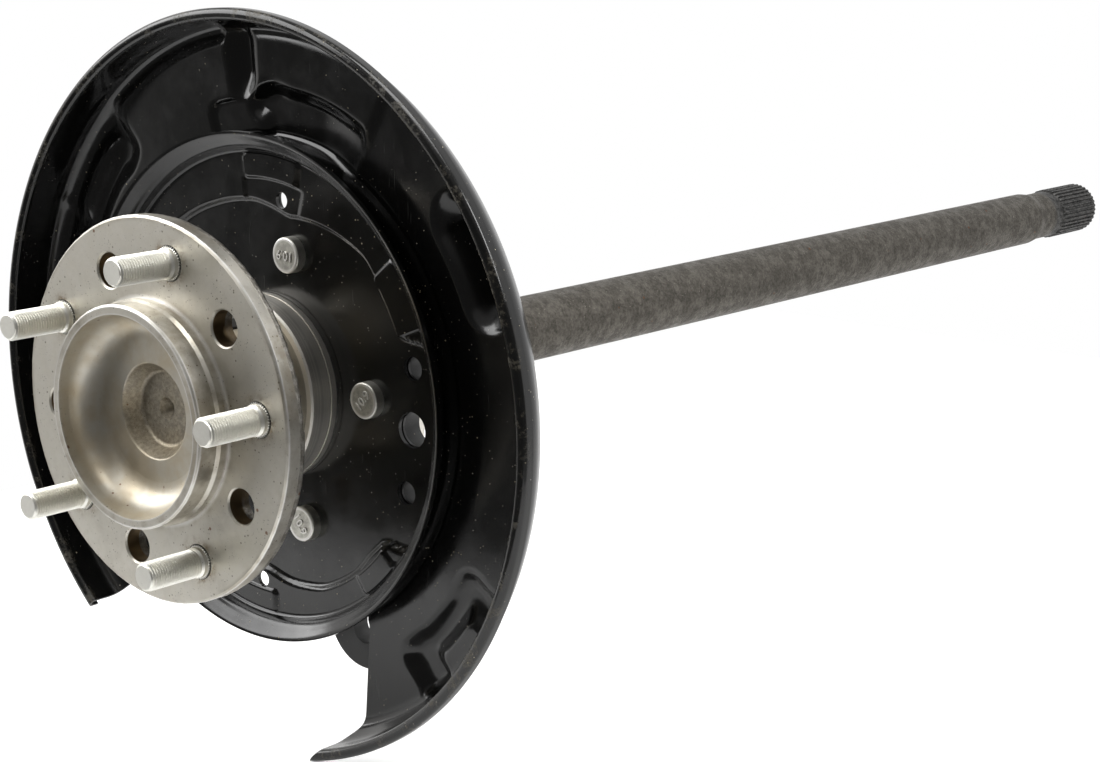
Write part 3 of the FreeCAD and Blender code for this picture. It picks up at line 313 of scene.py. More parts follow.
def makeScratches():
    # short straight marks lying one way, faded in patches
    tree, given, out = newGroup("scratches", {"Place": None, "Scale": 90, "Turn": None, "Share": 0.1},
                                ["Mask"])
    stretch = addNode(tree, "Mapping", {"Vector": given["Place"], "Rotation": given["Turn"],
                                        "Scale": (1, 1, 0.045)})
    lines = noise(tree, stretch.outputs[0], product(tree, given["Scale"], 22), 2)
    patches = noise(tree, given["Place"], given["Scale"], 2)
    mark = calc(tree, "SUBTRACT", lines, calc(tree, "SUBTRACT", 0.76, given["Share"]))
    mark = calc(tree, "MULTIPLY", mark, 14, clamp=True)
    patch = calc(tree, "MULTIPLY", calc(tree, "SUBTRACT", patches, 0.52), 6, clamp=True)
    tree.links.new(product(tree, mark, patch), out["Mask"])
    return tree


def makeTurning():
    # fine rings left by a turning tool: a noise that only changes with one value
    tree, given, out = newGroup("turning", {"Across": 0, "Pitch": 3}, ["Value"])
    rings = addNode(tree, "TexNoise", {"W": product(tree, given["Across"], given["Pitch"]),
                                       "Scale": 1, "Detail": 3, "Roughness": 0.7}, noise_dimensions="1D")
    tree.links.new(rings.outputs[0], out["Value"])
    return tree


def makeRingLine():
    # 1 at a ring given by its radius and place along the axle, fading over a width
    tree, given, out = newGroup("ringLine", {"Radius": 0, "Along": 0, "At radius": 0, "At along": 0,
                                             "Width": 1}, ["Mask"])
    across = calc(tree, "SUBTRACT", given["Radius"], given["At radius"])
    lengthways = calc(tree, "SUBTRACT", given["Along"], given["At along"])
    squares = calc(tree, "ADD", product(tree, across, across), product(tree, lengthways, lengthways))
    share = calc(tree, "DIVIDE", calc(tree, "SQRT", squares), given["Width"])
    tree.links.new(calc(tree, "SUBTRACT", 1, share, clamp=True), out["Mask"])
    return tree


def makeRoundHoles():
    # distance in mm from the nearest of some equal places round the axle
    tree, given, out = newGroup("roundHoles", {"Radius": 0, "Turn": 0, "Circle": 71, "Angle": 0,
                                               "Step": 72}, ["Distance"])
    radius, circle, step = given["Radius"], given["Circle"], given["Step"]
    half = product(tree, step, 0.5)
    away = calc(tree, "ADD", calc(tree, "SUBTRACT", given["Turn"], given["Angle"]), half)
    folded = calc(tree, "SUBTRACT", calc(tree, "MODULO", calc(tree, "ADD", away, 720), step), half)
    cosine = calc(tree, "COSINE", product(tree, folded, math.pi / 180))
    squares = calc(tree, "ADD", product(tree, radius, radius), product(tree, circle, circle))
    between = product(tree, product(tree, radius, circle), product(tree, cosine, 2))
    tree.links.new(calc(tree, "SQRT", calc(tree, "SUBTRACT", squares, between)), out["Distance"])
    return tree


axlePlace = makeAxlePlace()
specks = makeSpecks()
mottle = makeMottle()
scratches = makeScratches()
turning = makeTurning()
ringLine = makeRingLine()
roundHoles = makeRoundHoles()


class Finish:
    # a material being built: its tree, its shader and the object's own coordinates

    def __init__(self, name, look=None, **constants):
        self.look = look
        self.material = bpy.data.materials.new(name)
        self.material.use_nodes = True
        self.tree = self.material.node_tree
        self.shader = self.tree.nodes["Principled BSDF"]
        self.place = self.tree.nodes.new("ShaderNodeTexCoord").outputs["Object"]
        axle = useGroup(self.tree, axlePlace, Place=self.place)
        self.radius, self.along, self.turn = axle["Radius"], axle["Along"], axle["Turn"]
        self.set(**constants)

    def set(self, **sockets):
        for label, value in sockets.items():
            giveSocket(self.tree, self.shader.inputs[label.replace("_", " ")], value)

    def colour(self):
        # what feeds the base colour so far
        return self.shader.inputs["Base Color"].links[0].from_socket

    def read(self, value):
        # a name stands for its value in the look
        return self.look[value] if isinstance(value, str) else value

    def times(self, first, second):
        return product(self.tree, first, self.read(second))

    def most(self, first, second):
        return calc(self.tree, "MAXIMUM", first, second)

    def zone(self, value, span):
        return softStep(self.tree, value, *self.look[span])

    def tint(self, share, first, second):
        return mix(self.tree, "RGBA", 6, share, self.read(first), self.read(second))

    def blend(self, share, first, second):
        return mix(self.tree, "FLOAT", 2, share, self.read(first), self.read(second))

    def clouds(self, scale, low, high):
        return useGroup(self.tree, mottle, Place=self.place, Scale=scale, Low=low, High=high)["Value"]

    def dots(self, scale, share, size):
        return useGroup(self.tree, specks, Place=self.place, Scale=scale, Share=share, Size=size)

    def marks(self, scale, turn, share):
        return useGroup(self.tree, scratches, Place=self.place, Scale=scale, Turn=turn, Share=share)["Mask"]

    def rings(self, across, pitch):
        return useGroup(self.tree, turning, Across=across, Pitch=pitch)["Value"]

    def edge(self, radius, along, width):
        return useGroup(self.tree, ringLine, Radius=self.radius, Along=self.along,
                        **{"At radius": radius, "At along": along, "Width": width})["Mask"]

    def holes(self, circle, angle):
        return useGroup(self.tree, roundHoles, Radius=self.radius, Turn=self.turn,
                        Circle=circle, Angle=angle)["Distance"]

    def bump(self, height, distance, strength, before=None):
        node = addNode(self.tree, "Bump", {"Height": height, "Distance": distance, "Strength": strength})
        if before is not None:
            self.tree.links.new(before, node.inputs["Normal"])
        return node.outputs["Normal"]


def grey(value, warm=0.0):
    return (value * (1 + warm), value, value * (1 - 1.6 * warm), 1)


# materials; spans in mm are (start, full), of a radius, a place along the axle or a distance

boltMarks = {
    "count": 5, "circle": 71, "angle": 2.8, "headFront": 70.5, "text": "10.9", "size": 6.6,
    "raise": 0.45, "bevel": 0.07, "curveSteps": 3, "spins": (50, 176, -38, 60, -55),
}

blackSheet = {
    "base": (0.0036, 0.0036, 0.0034, 1), "roughness": 0.14, "roughnessMottle": 0.10,
    "mottle": (28, 0.38, 0.66),         # scale, low, high
    "film": (60, 0.56, 0.80), "filmShare": 0.22, "filmRoughness": 0.45,
    "filmColour": (0.030, 0.028, 0.024, 1),
    "fineDust": (640, 0.13, 0.20),      # scale, share of cells, size
    "coarseDust": (230, 0.10, 0.085),
    "dustPatches": (34, 0.44, 0.60), "dustShare": 0.9, "dustRoughness": 0.8,
    "dustColour": (0.55, 0.48, 0.30, 1), "paleDust": grey(0.42, 0.05),
    "scratches": (55, (0.4, 0.2, 0.3), 0.10), "scratchShare": 0.22, "scratchColour": grey(0.16, 0.03),
    "lipRadius": (179.5, 184), "lipAlong": (60, 55.5), "lipPatches": (75, 0.50, 0.62),
    "lipGrain": (700, 0.38, 0.56), "lipShare": 0.75, "lipRoughness": 0.7,
    "lipColour": (0.085, 0.075, 0.055, 1),
    "peelScale": 420, "peelDepth": 0.00002, "peelStrength": 0.5,
}


def makeBlackSheet(name, dust=1.0, roughness=blackSheet["roughness"]):
    look = blackSheet
    finish = Finish(name, look)
    times, tint, blend, clouds = finish.times, finish.tint, finish.blend, finish.clouds
    cloud = clouds(*look["mottle"])
    film = times(clouds(*look["film"]), look["filmShare"] * dust)
    scale, share, size = look["fineDust"]
    fine = finish.dots(scale, share * dust, size)
    scale, share, size = look["coarseDust"]
    coarse = finish.dots(scale, share * dust, size)
    dustMask = finish.most(times(fine["Mask"], clouds(*look["dustPatches"])), coarse["Mask"])
    scratchMask = times(finish.marks(*look["scratches"]), "scratchShare")
    colour = tint(scratchMask, tint(film, "base", "filmColour"), "scratchColour")
    dustColour = tint(coarse["Tint"], "dustColour", "paleDust")
    colour = tint(times(dustMask, "dustShare"), colour, dustColour)

    # brown dust lying on the rolled lip, thick in patches
    lipDust = times(finish.zone(finish.radius, "lipRadius"), finish.zone(finish.along, "lipAlong"))
    lipDust = times(times(lipDust, clouds(*look["lipPatches"])), clouds(*look["lipGrain"]))
    lipDust = times(lipDust, look["lipShare"] * dust)
    colour = tint(lipDust, colour, "lipColour")

    rough = blend(cloud, roughness, roughness + look["roughnessMottle"])
    rough = blend(dustMask, rough, "dustRoughness")
    rough = blend(film, rough, "filmRoughness")
    rough = blend(lipDust, rough, "lipRoughness")
    peel = noise(finish.tree, finish.place, look["peelScale"], 2)
    normal = finish.bump(peel, look["peelDepth"], look["peelStrength"])
    finish.set(Base_Color=colour, Roughness=rough, Normal=normal)
    return finish


flangeSteel = {
    "machined": (0.60, 0.575, 0.51, 1), "machinedDark": grey(0.40, 0.07), "machinedPale": grey(0.62, 0.03),
    "pit": grey(0.10, 0.18), "smallPit": grey(0.11, 0.14), "bloom": (0.25, 0.205, 0.14, 1),
    "gold": (0.56, 0.49, 0.37, 1), "dish": (0.48, 0.42, 0.32, 1), "dishGrain": grey(0.20, 0.13),
    # mouthShade: near-black painted shade inside the stud holes
    "dishPit": grey(0.10, 0.16), "stain": (0.24, 0.175, 0.10, 1), "mouthShade": (0.045, 0.034, 0.022, 1),
    "forged": (0.46, 0.44, 0.40, 1), "forgedDark": grey(0.20, 0.08),
    "scaleLight": (0.155, 0.142, 0.122, 1), "scaleDark": (0.062, 0.057, 0.049, 1),
    "fleck": grey(0.42, 0.08), "spline": (0.032, 0.032, 0.031, 1), "splineWorn": grey(0.12, 0.02),
    # edgeGlint: pale colour of the painted highlights along the turned edges
    "rust": (0.16, 0.062, 0.022, 1), "edgeGlint": grey(0.82, 0.01),
    "holePlaces": (71, 41.5), "studPlaces": (75, 77.7),     # circle, first angle
    "pilotFoot": (60, 55.5), "rim": (90.5, 94), "front": (13, 11),
    "cupRadius": (50.5, 48.5), "cupAlong": (-17.2, -15.5),
    "dishRadius": (24.5, 22.5), "dishAlong": (30, 20),
    "holeWall": (9.1, 8.75), "holeAlong": (0.5, 1.4), "stainWidth": (15, 8.9),
    "mouthWall": (8.95, 8.7), "mouthAlong": (0.05, 0.3),
    "forgedAlong": (7.6, 8.6), "forgedRadius": (60, 70),
    "shaftStart": (112, 119), "splineStart": (846, 852),
    "facing": (-0.4, 0.4), "ringPitch": 2.6,    # turning marks run across the face, then along
    # rings that get a painted highlight:
    "edgeGlints": [                              # radius, place along the axle, width
        (54, -16.5, 0.9), (53, -17.5, 0.8), (49.3, -17.5, 0.8), (94.2, 1.2, 0.9), (55.4, -0.3, 1.6),
    ],
}


def makeAxleSteel():
    look = flangeSteel
    finish = Finish("axleSteel", look, Metallic=1.0)
    tree, radius, along, zone = finish.tree, finish.radius, finish.along, finish.zone
    times, most, tint, blend, clouds = finish.times, finish.most, finish.tint, finish.blend, finish.clouds

    # machined faces of the flange, with stains and pits
    cloud = clouds(38, 0.40, 0.68)
    fineCloud = clouds(160, 0.42, 0.66)
    machined = tint(times(cloud, 0.40), "machined", "machinedDark")
    machined = tint(times(fineCloud, 0.26), machined, "machinedPale")
    pits = finish.dots(430, 0.34, 0.20)["Mask"]
    smallPits = times(finish.dots(1000, 0.40, 0.28)["Mask"], clouds(45, 0.42, 0.62))
    machined = tint(times(smallPits, 0.85), machined, "smallPit")
    machined = tint(times(pits, 0.80), machined, "pit")

    # brown bloom round the pilot and along the rim
    bloom = most(zone(radius, "pilotFoot"), zone(radius, "rim"))
    bloom = times(times(bloom, clouds(26, 0.44, 0.60)), zone(along, "front"))
    machined = tint(times(bloom, 0.55), machined, "bloom")

    # golden brown in the recess, grainy dish at its middle
    inCup = times(zone(radius, "cupRadius"), zone(along, "cupAlong"))
    gold = tint(clouds(22, 0.38, 0.62), "machined", "gold")
    machined = tint(times(inCup, 0.85), machined, gold)
    inDish = times(zone(radius, "dishRadius"), zone(along, "dishAlong"))
    grain = clouds(520, 0.36, 0.62)
    dish = tint(grain, "dish", "dishGrain")
    machined = tint(times(inDish, 0.75), machined, dish)
    dishPits = times(finish.dots(1000, 0.34, 0.25)["Mask"], inDish)
    machined = tint(times(dishPits, 0.7), machined, "dishPit")

    # brown walls of the access holes, a stain round the studs and painted shade in the mouths of their holes
    fromHole, fromStud = finish.holes(*look["holePlaces"]), finish.holes(*look["studPlaces"])
    holeWall = times(zone(fromHole, "holeWall"), zone(along, "holeAlong"))
    machined = tint(holeWall, machined, "stain")
    studStain = times(zone(fromStud, "stainWidth"), times(fineCloud, 0.8))
    machined = tint(studStain, machined, "stain")
    mouthShade = times(zone(fromStud, "mouthWall"), zone(along, "mouthAlong"))
    machined = tint(mouthShade, machined, "mouthShade")

    # forged back edge of the flange: rougher, paler
    forgedBand = times(zone(along, "forgedAlong"), zone(radius, "forgedRadius"))
    forged = tint(clouds(210, 0.35, 0.60), "forged", "forgedDark")
    machined = tint(forgedBand, machined, forged)

    # the shaft's dark forging scale and the spline
    scaleCloud = clouds(130, 0.40, 0.62)
    scaleShare = calc(tree, "ADD", times(scaleCloud, 0.42), times(clouds(560, 0.36, 0.62), 0.58))
    scaleColour = tint(scaleShare, "scaleDark", "scaleLight")
    flecks = finish.dots(900, 0.10, 0.26)["Mask"]
    scaleColour = tint(times(flecks, 0.6), scaleColour, "fleck")
    onShaft, onSpline = zone(along, "shaftStart"), zone(along, "splineStart")
    colour = tint(onShaft, machined, scaleColour)
    splineColour = tint(clouds(300, 0.4, 0.6), "spline", "splineWorn")
    colour = tint(onSpline, colour, splineColour)

    # rust spots, few and small
    rust = finish.dots(180, 0.11, 0.15)["Mask"]
    colour = tint(times(rust, 0.8), colour, "rust")

    # painted highlights (edge glints) along the edges of the turned shapes
    edges = finish.edge(*look["edgeGlints"][0])
    for edgeGlint in look["edgeGlints"][1:]:
        edges = most(edges, finish.edge(*edgeGlint))
    colour = tint(times(edges, 0.75), colour, "edgeGlint")

    rough = blend(cloud, 0.40, 0.54)
    rough = blend(inDish, rough, 0.50)
    rough = blend(onShaft, rough, blend(scaleCloud, 0.62, 0.44))
    rough = blend(onSpline, rough, 0.5)

    rings = blend(zone(along, "facing"), finish.rings(along, look["ringPitch"]),
                  finish.rings(radius, look["ringPitch"]))
    normal = finish.bump(times(rings, calc(tree, "SUBTRACT", 1, onShaft)), 0.00003, 0.35)
    roughSkin = times(most(forgedBand, onShaft), clouds(420, 0.3, 0.7))
    normal = finish.bump(roughSkin, 0.00022, 0.9, normal)
    normal = finish.bump(times(most(pits, smallPits), -1), 0.0001, 0.5, normal)
    normal = finish.bump(times(grain, inDish), 0.00008, 0.6, normal)
    finish.set(Base_Color=colour, Roughness=rough, Normal=normal)
    return finish


plainSteel = {
    "mottle": (0.38, 0.66), "roughnessMottle": 0.12, "stainShade": 0.45, "stainWarmth": 0.06,
    "dirt": (900, 0.08, 0.22), "dirtShare": 0.4, "dirtColour": grey(0.08, 0.1),
    "skin": (500, 0.3, 0.7), "skinDepth": 0.00002, "skinStrength": 0.5,
    "ringDepth": 0.00003, "ringStrength": 0.4,
}


def makeSteel(name, base, roughness, stain, scale, ringPitch=None):
    look = plainSteel
    finish = Finish(name, look, Metallic=1.0)
    cloud = finish.clouds(scale, *look["mottle"])
    stainColour = grey(base[1] * look["stainShade"], look["stainWarmth"])
    colour = finish.tint(finish.times(cloud, stain), base, stainColour)
    dirt = finish.dots(*look["dirt"])["Mask"]
    colour = finish.tint(finish.times(dirt, "dirtShare"), colour, "dirtColour")
    rough = finish.blend(cloud, roughness, roughness + look["roughnessMottle"])
    normal = finish.bump(finish.clouds(*look["skin"]), look["skinDepth"], look["skinStrength"])
    if ringPitch:
        rings = finish.rings(finish.along, ringPitch)
        normal = finish.bump(rings, look["ringDepth"], look["ringStrength"], normal)
    finish.set(Base_Color=colour, Roughness=rough, Normal=normal)
    return finish


snoutBands = {"pitch": 0.32, "span": (0.42, 0.62), "share": 0.30, "colour": grey(0.25, 0.05)}


def makeCaseSteel():
    # ground snout with brighter and darker bands along it
    finish = makeSteel("caseSteel", (0.78, 0.75, 0.69, 1), 0.42, 0.08, 40, 2.2)
    finish.look = snoutBands
    bands = finish.zone(finish.rings(finish.along, snoutBands["pitch"]), "span")
    finish.set(Base_Color=finish.tint(finish.times(bands, "share"), finish.colour(), "colour"))
    return finish


boltHead = {
    "front": (73, 71.5), "figures": (70.36, 70.2), "chamferIn": (6.9, 7.6), "chamferOut": (8.75, 8.35),
    # bright: colour of the painted highlight round the chamfer, also given to the raised figures
    "brightShare": 0.85, "bright": grey(0.80, 0.02),
    "grimeRadius": (7.4, 6.4), "grimePatches": (420, 0.40, 0.60), "grimeShare": 0.45,
    "grime": grey(0.20, 0.05),
}


def makeBoltSteel():
    # zinc-grey heads, with a painted highlight round the chamfer and the raised figures made lighter
    finish = makeSteel("boltGrey", (0.62, 0.61, 0.55, 1), 0.40, 0.25, 150)
    finish.look = boltHead
    times, tint, zone = finish.times, finish.tint, finish.zone
    away = finish.holes(boltMarks["circle"], boltMarks["angle"])
    onFront, raised = zone(finish.along, "front"), zone(finish.along, "figures")
    chamferHighlight = times(zone(away, "chamferIn"), zone(away, "chamferOut"))
    bright = times(finish.most(chamferHighlight, raised), onFront)
    colour = tint(times(bright, "brightShare"), finish.colour(), "bright")
    grime = times(zone(away, "grimeRadius"), finish.clouds(*boltHead["grimePatches"]))
    grime = times(grime, calc(finish.tree, "SUBTRACT", onFront, raised, clamp=True))
    finish.set(Base_Color=tint(times(grime, "grimeShare"), colour, "grime"))
    return finish


def makeRubber():
    finish = Finish("sealRubber")
    cloud = finish.clouds(200, 0.35, 0.65)
    finish.set(Base_Color=finish.tint(cloud, grey(0.014), grey(0.035, 0.03)),
               Roughness=finish.blend(cloud, 0.62, 0.78),
               Normal=finish.bump(cloud, 0.00003, 0.5))
    return finish


finishes = {
    "sheet": makeBlackSheet("blackSheetCoat"),
    "bracket": makeBlackSheet("bracketCoat", 0.7, 0.42),
    "axle": makeAxleSteel(),
    "stud": makeSteel("studZinc", (0.86, 0.85, 0.79, 1), 0.36, 0.14, 90),
    "bolt": makeBoltSteel(),
    "case": makeCaseSteel(),
    "bearing": makeSteel("bearingSteel", (0.62, 0.62, 0.61, 1), 0.16, 0.1, 60, 3.0),
    "cage": makeSteel("cageSteel", (0.42, 0.41, 0.38, 1), 0.32, 0.2, 90),
    "retainer": makeSteel("retainerSteel", (0.38, 0.37, 0.35, 1), 0.34, 0.3, 70, 2.0),
    "tone": makeSteel("toneSteel", (0.26, 0.25, 0.24, 1), 0.5, 0.3, 140),
    "spring": makeSteel("springSteel", (0.10, 0.10, 0.105, 1), 0.42, 0.3, 120),
    "rubber": makeRubber(),
}
wearers = {
    "axle": "axle_shaft", "case": "bearing_case", "bracket": "caliper_bracket", "stud": "wheel_studs",
    "bolt": "case_bolts", "retainer": "bearing_retainer", "tone": "abs_tone_ring",
    "bearing": "bearing_inner_ring bearing_outer_ring bearing_balls",
    "cage": "ball_cage_outboard ball_cage_inboard cage_rivets bearing_shield_outboard "
            "bearing_shield_inboard oil_seal_case",
    "spring": "shaft_snap_ring case_snap_ring seal_garter_spring", "rubber": "oil_seal_lip case_o_ring",
    "sheet": "backing_plate dust_shield",
}
for finishName, nodeNames in wearers.items():
    for nodeName in nodeNames.split():
        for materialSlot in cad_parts[nodeName].material_slots:
            materialSlot.material = finishes[finishName].material
print("materials made")


def finishPiece(piece, finishName, body, slotName, *replaced):
    piece.data.materials.clear()
    piece.data.materials.append(finishes[finishName].material)
    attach(piece, body)
    if replaced:
        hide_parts(*replaced)


# wheel studs

studs = {
    "count": 5, "circle": 75, "angle": 77.7, "spin": 67, "turnSteps": 36, "shankSteps": 48,
    "threadRadius": 7, "pitch": 1.5, "threadDepth": 0.92,
    "threadStart": -4.6, "tip": -33.8, "tipChamfer": 1.3,
    # one tooth of the thread: whether on its crest, share of the pitch
    "toothForm": [(False, 0), (False, 0.2), (True, 0.46), (True, 0.6), (False, 0.86), (False, 1)],
    "reliefRadius": 6.4, "reliefSunk": 0.3,
    "collarRadius": 7.5, "collarFront": -3.2, "collarChamfer": 0.5,
    "knurlRadius": 7.95, "knurlFront": 1.2, "knurlSlope": 0.4, "knurlDepth": 0.1,
    "headRadius": 11, "headHeight": 4, "headChamfer": 0.6, "flangeBack": 12.5,
    "teeth": 38, "toothReach": 0.65, "toothInner": 6.9,
    "toothFront": -0.45, "toothFrontInner": -0.75, "toothBack": 1.18,
}


def makeStud():
    s = studs
    # thread: one tooth of the profile, screwed along the stud and cut to length
    crest, root, pitch = s["threadRadius"], s["threadRadius"] - s["threadDepth"], s["pitch"]
    start, tip = s["threadStart"], s["tip"]
    form = [((crest if high else root) * mm, 0, share * pitch * mm) for high, share in s["toothForm"]]
    thread = meshPiece("studThread", form)
    applyModifier(thread, "SCREW", axis="Z", angle=2 * math.pi, steps=s["turnSteps"],
                  render_steps=s["turnSteps"], screw_offset=pitch * mm,
                  iterations=int((start - tip) / pitch) + 3, use_merge_vertices=True,
                  merge_threshold=0.005 * mm)
    thread.rotation_euler = (math.radians(90), 0, 0)
    thread.location = (0, (start + pitch) * mm, 0)
    applyPlace(thread)
    wholeMesh(thread)
    bpy.ops.mesh.remove_doubles(threshold=0.004 * mm)
    bpy.ops.mesh.bisect(plane_co=(0, start * mm, 0), plane_no=(0, 1, 0), clear_outer=True, use_fill=True)
    bpy.ops.mesh.select_all(action="SELECT")
    bpy.ops.mesh.bisect(plane_co=(0, tip * mm, 0), plane_no=(0, 1, 0), clear_inner=True, use_fill=True)
    leaveMesh()
    for vertex in thread.data.vertices:   # cone at the tip
        reach = math.hypot(vertex.co.x, vertex.co.z)
        past = vertex.co.y - tip * mm
        allowed = (crest - s["tipChamfer"]) * mm + past
        if reach > allowed:
            vertex.co.x *= allowed / reach
            vertex.co.z *= allowed / reach

    # shank: relief, collar, knurl and the head behind the flange
    relief, collar, knurl = s["reliefRadius"], s["collarRadius"], s["knurlRadius"] - s["knurlDepth"]
    front, bevel = s["collarFront"], s["collarChamfer"]
    head, chamfer = s["headRadius"], s["headChamfer"]
    back, end = s["flangeBack"], s["flangeBack"] + s["headHeight"]
    shank = turnProfile("studShank", [
        (0, start - s["reliefSunk"]), (relief, start - s["reliefSunk"]), (relief, front - bevel),
        (collar - bevel, front), (collar, front + bevel), (collar, s["knurlFront"] - s["knurlSlope"]),
        (knurl, s["knurlFront"]), (knurl, back), (head - chamfer, back),
        (head, back + chamfer), (head, end - chamfer), (head - chamfer, end), (0, end),
    ], s["shankSteps"])
    cleanMesh(thread, 40)
    cleanMesh(shank, 40)
    return joinPieces(thread, [shank])


def makeKnurl():
    # a ring of small teeth round the stud's foot, in the mouth of its hole
    s = studs
    total = s["teeth"] * 2
    front, frontInner, back = s["toothFront"] * mm, s["toothFrontInner"] * mm, s["toothBack"] * mm
    spots, faces = [], []
    for tooth in range(total):
        turn = tooth * 180 / s["teeth"]
        across, up = polar(s["knurlRadius"] + s["toothReach"] if tooth % 2 else s["collarRadius"], turn)
        acrossIn, upIn = polar(s["toothInner"], turn)
        spots += [(across * mm, front, up * mm), (acrossIn * mm, frontInner, upIn * mm),
                  (across * mm, back, up * mm), (acrossIn * mm, back, upIn * mm)]
        here, there = tooth * 4, (tooth + 1) % total * 4
        faces += [(here, there, there + 1, here + 1), (here + 2, here + 3, there + 3, there + 2),
                  (here, here + 2, there + 2, there), (here + 1, there + 1, there + 3, here + 3)]
    knurl = meshPiece("studKnurl", spots, faces)
    cleanMesh(knurl, 20)
    return knurl


def placeStuds():
    pattern = joinPieces(makeStud(), [makeKnurl()])
    for index in range(studs["count"]):
        stud = copyOf(pattern, "wheelStud{}".format(index + 1))
        across, up = polar(studs["circle"], studs["angle"] + 360 / studs["count"] * index)
        turn = Matrix.Rotation(math.radians(studs["spin"] * index), 4, "Y")
        stud.data.transform(Matrix.Translation((across * mm, 0, up * mm)) @ turn)
        finishPiece(stud, "stud", "shaft", "stud_zinc", "wheel_studs")
    bpy.data.objects.remove(pattern, do_unlink=True)


placeStuds()
print("wheel studs made")


# bolt marks

def placeBoltMarks():
    for index, spin in enumerate(boltMarks["spins"]):
        deselectAll()
        across, up = polar(boltMarks["circle"], boltMarks["angle"] + 360 / boltMarks["count"] * index)
        bpy.ops.object.text_add(location=(0, 0, 0))
        mark = bpy.context.object
        mark.name = "boltMark{}".format(index + 1)
        mark.data.body = boltMarks["text"]
        mark.data.size = boltMarks["size"] * mm
        mark.data.align_x = "CENTER"
        mark.data.align_y = "CENTER"
        mark.data.extrude = boltMarks["raise"] * mm
        mark.data.bevel_depth = boltMarks["bevel"] * mm
        mark.data.resolution_u = boltMarks["curveSteps"]
        pickOnly(mark)
        bpy.ops.object.convert(target="MESH")
        mark.matrix_world = (Matrix.Translation((across * mm, boltMarks["headFront"] * mm, up * mm))
                             @ Matrix.Rotation(math.radians(-spin), 4, "Y")
                             @ Matrix.Rotation(math.radians(90), 4, "X"))
        applyPlace(mark)
        wholeMesh(mark)
        bpy.ops.mesh.remove_doubles(threshold=0.002 * mm)
        leaveMesh()
        finishPiece(mark, "bolt", "housing", "bolt_grey")


placeBoltMarks()
print("bolt marks made")


# pressed sheets

def smooth(value):
    value = min(max(value, 0), 1)
    return value * value * (3 - 2 * value)


def insideBlock(radius, angle, block):
    # how far a place lies inside a round-cornered sector, in mm; negative outside
    start, stop, inner, outer, corner = block
    middle, half = (start + stop) / 2, (stop - start) / 2
    off = abs((angle - middle + 180) % 360 - 180)
    along = math.radians(half - off) * radius
    across = (outer - inner) / 2 - abs(radius - (inner + outer) / 2)
    first, second = corner - along, corner - across
    return corner - math.hypot(max(first, 0), max(second, 0)) - min(max(first, second), 0)


def smoothMax(first, second, width):
    share = max(width - abs(first - second), 0) / width
    return max(first, second) + share * share * width / 4


def pressing(radius, angle, shape):
    inside = insideBlock(radius, angle, shape["blocks"][0])
    for block in shape["blocks"][1:]:
        inside = smoothMax(inside, insideBlock(radius, angle, block), shape.get("blend", 4))
    depth = shape["depth"] * smooth(inside / shape["wall"] + 0.5)
    if depth and "byRadius" in shape:      # shallower on one side
        low, high, least = shape["byRadius"]
        depth *= least + (1 - least) * smooth((radius - low) / (high - low))
    if depth and "byTurn" in shape:
        low, high, least = shape["byTurn"]
        depth *= least + (1 - least) * smooth((angle - low) / (high - low))
    return depth


def placeOf(vertex):
    # radius in mm and angle round the axle in degrees
    angle = math.degrees(math.atan2(vertex.co.z, vertex.co.x)) % 360
    return math.hypot(vertex.co.x, vertex.co.z) * 1000, angle


def pressSheet(piece, shapes, fade):
    for vertex in piece.data.vertices:
        radius, angle = placeOf(vertex)
        keep = fade(radius, vertex.co.y * 1000)
        if keep > 0:
            depth = 0
            for shape in shapes:
                here = pressing(radius, angle, shape)
                if here > 0:
                    depth = smoothMax(depth, here, 0.8) if depth > 0 else here
            vertex.co.y += depth * keep * mm


def arcPoints(centre, radius, start, stop, count):
    points = []
    for index in range(count + 1):
        turn = math.radians(start + (stop - start) * index / count)
        points.append((centre[0] + radius * math.cos(turn), centre[1] + radius * math.sin(turn)))
    return points


def evenPoints(first, last, count):
    return [(first[0] + (last[0] - first[0]) * i / count, first[1] + (last[1] - first[1]) * i / count)
            for i in range(count + 1)]


def cutAway(piece, cutters):
    for cutter in cutters:
        applyModifier(piece, "BOOLEAN", operation="DIFFERENCE", solver="EXACT", object=cutter)
        bpy.data.objects.remove(cutter, do_unlink=True)


# holes through both sheets: radius in the shield, radius in the plate, circle, angle
sheetHoles = [(7, 4, 95.8, 81.8), (7, 4, 101.7, 266.6), (5.9, 5.9, 101.8, 12.7),
              (5.9, 5.9, 101.8, 337.3), (8.8, 8.8, 98.5, 355.6)]


def holeCutter(radius, circle, angle, start, stop):
    deselectAll()
    across, up = polar(circle, angle)
    bpy.ops.mesh.primitive_cylinder_add(vertices=40, radius=radius * mm, depth=(stop - start) * mm,
                                        location=(across * mm, (start + stop) / 2 * mm, up * mm),
                                        rotation=(math.radians(90), 0, 0))
    cutter = bpy.context.object
    applyPlace(cutter)
    return cutter


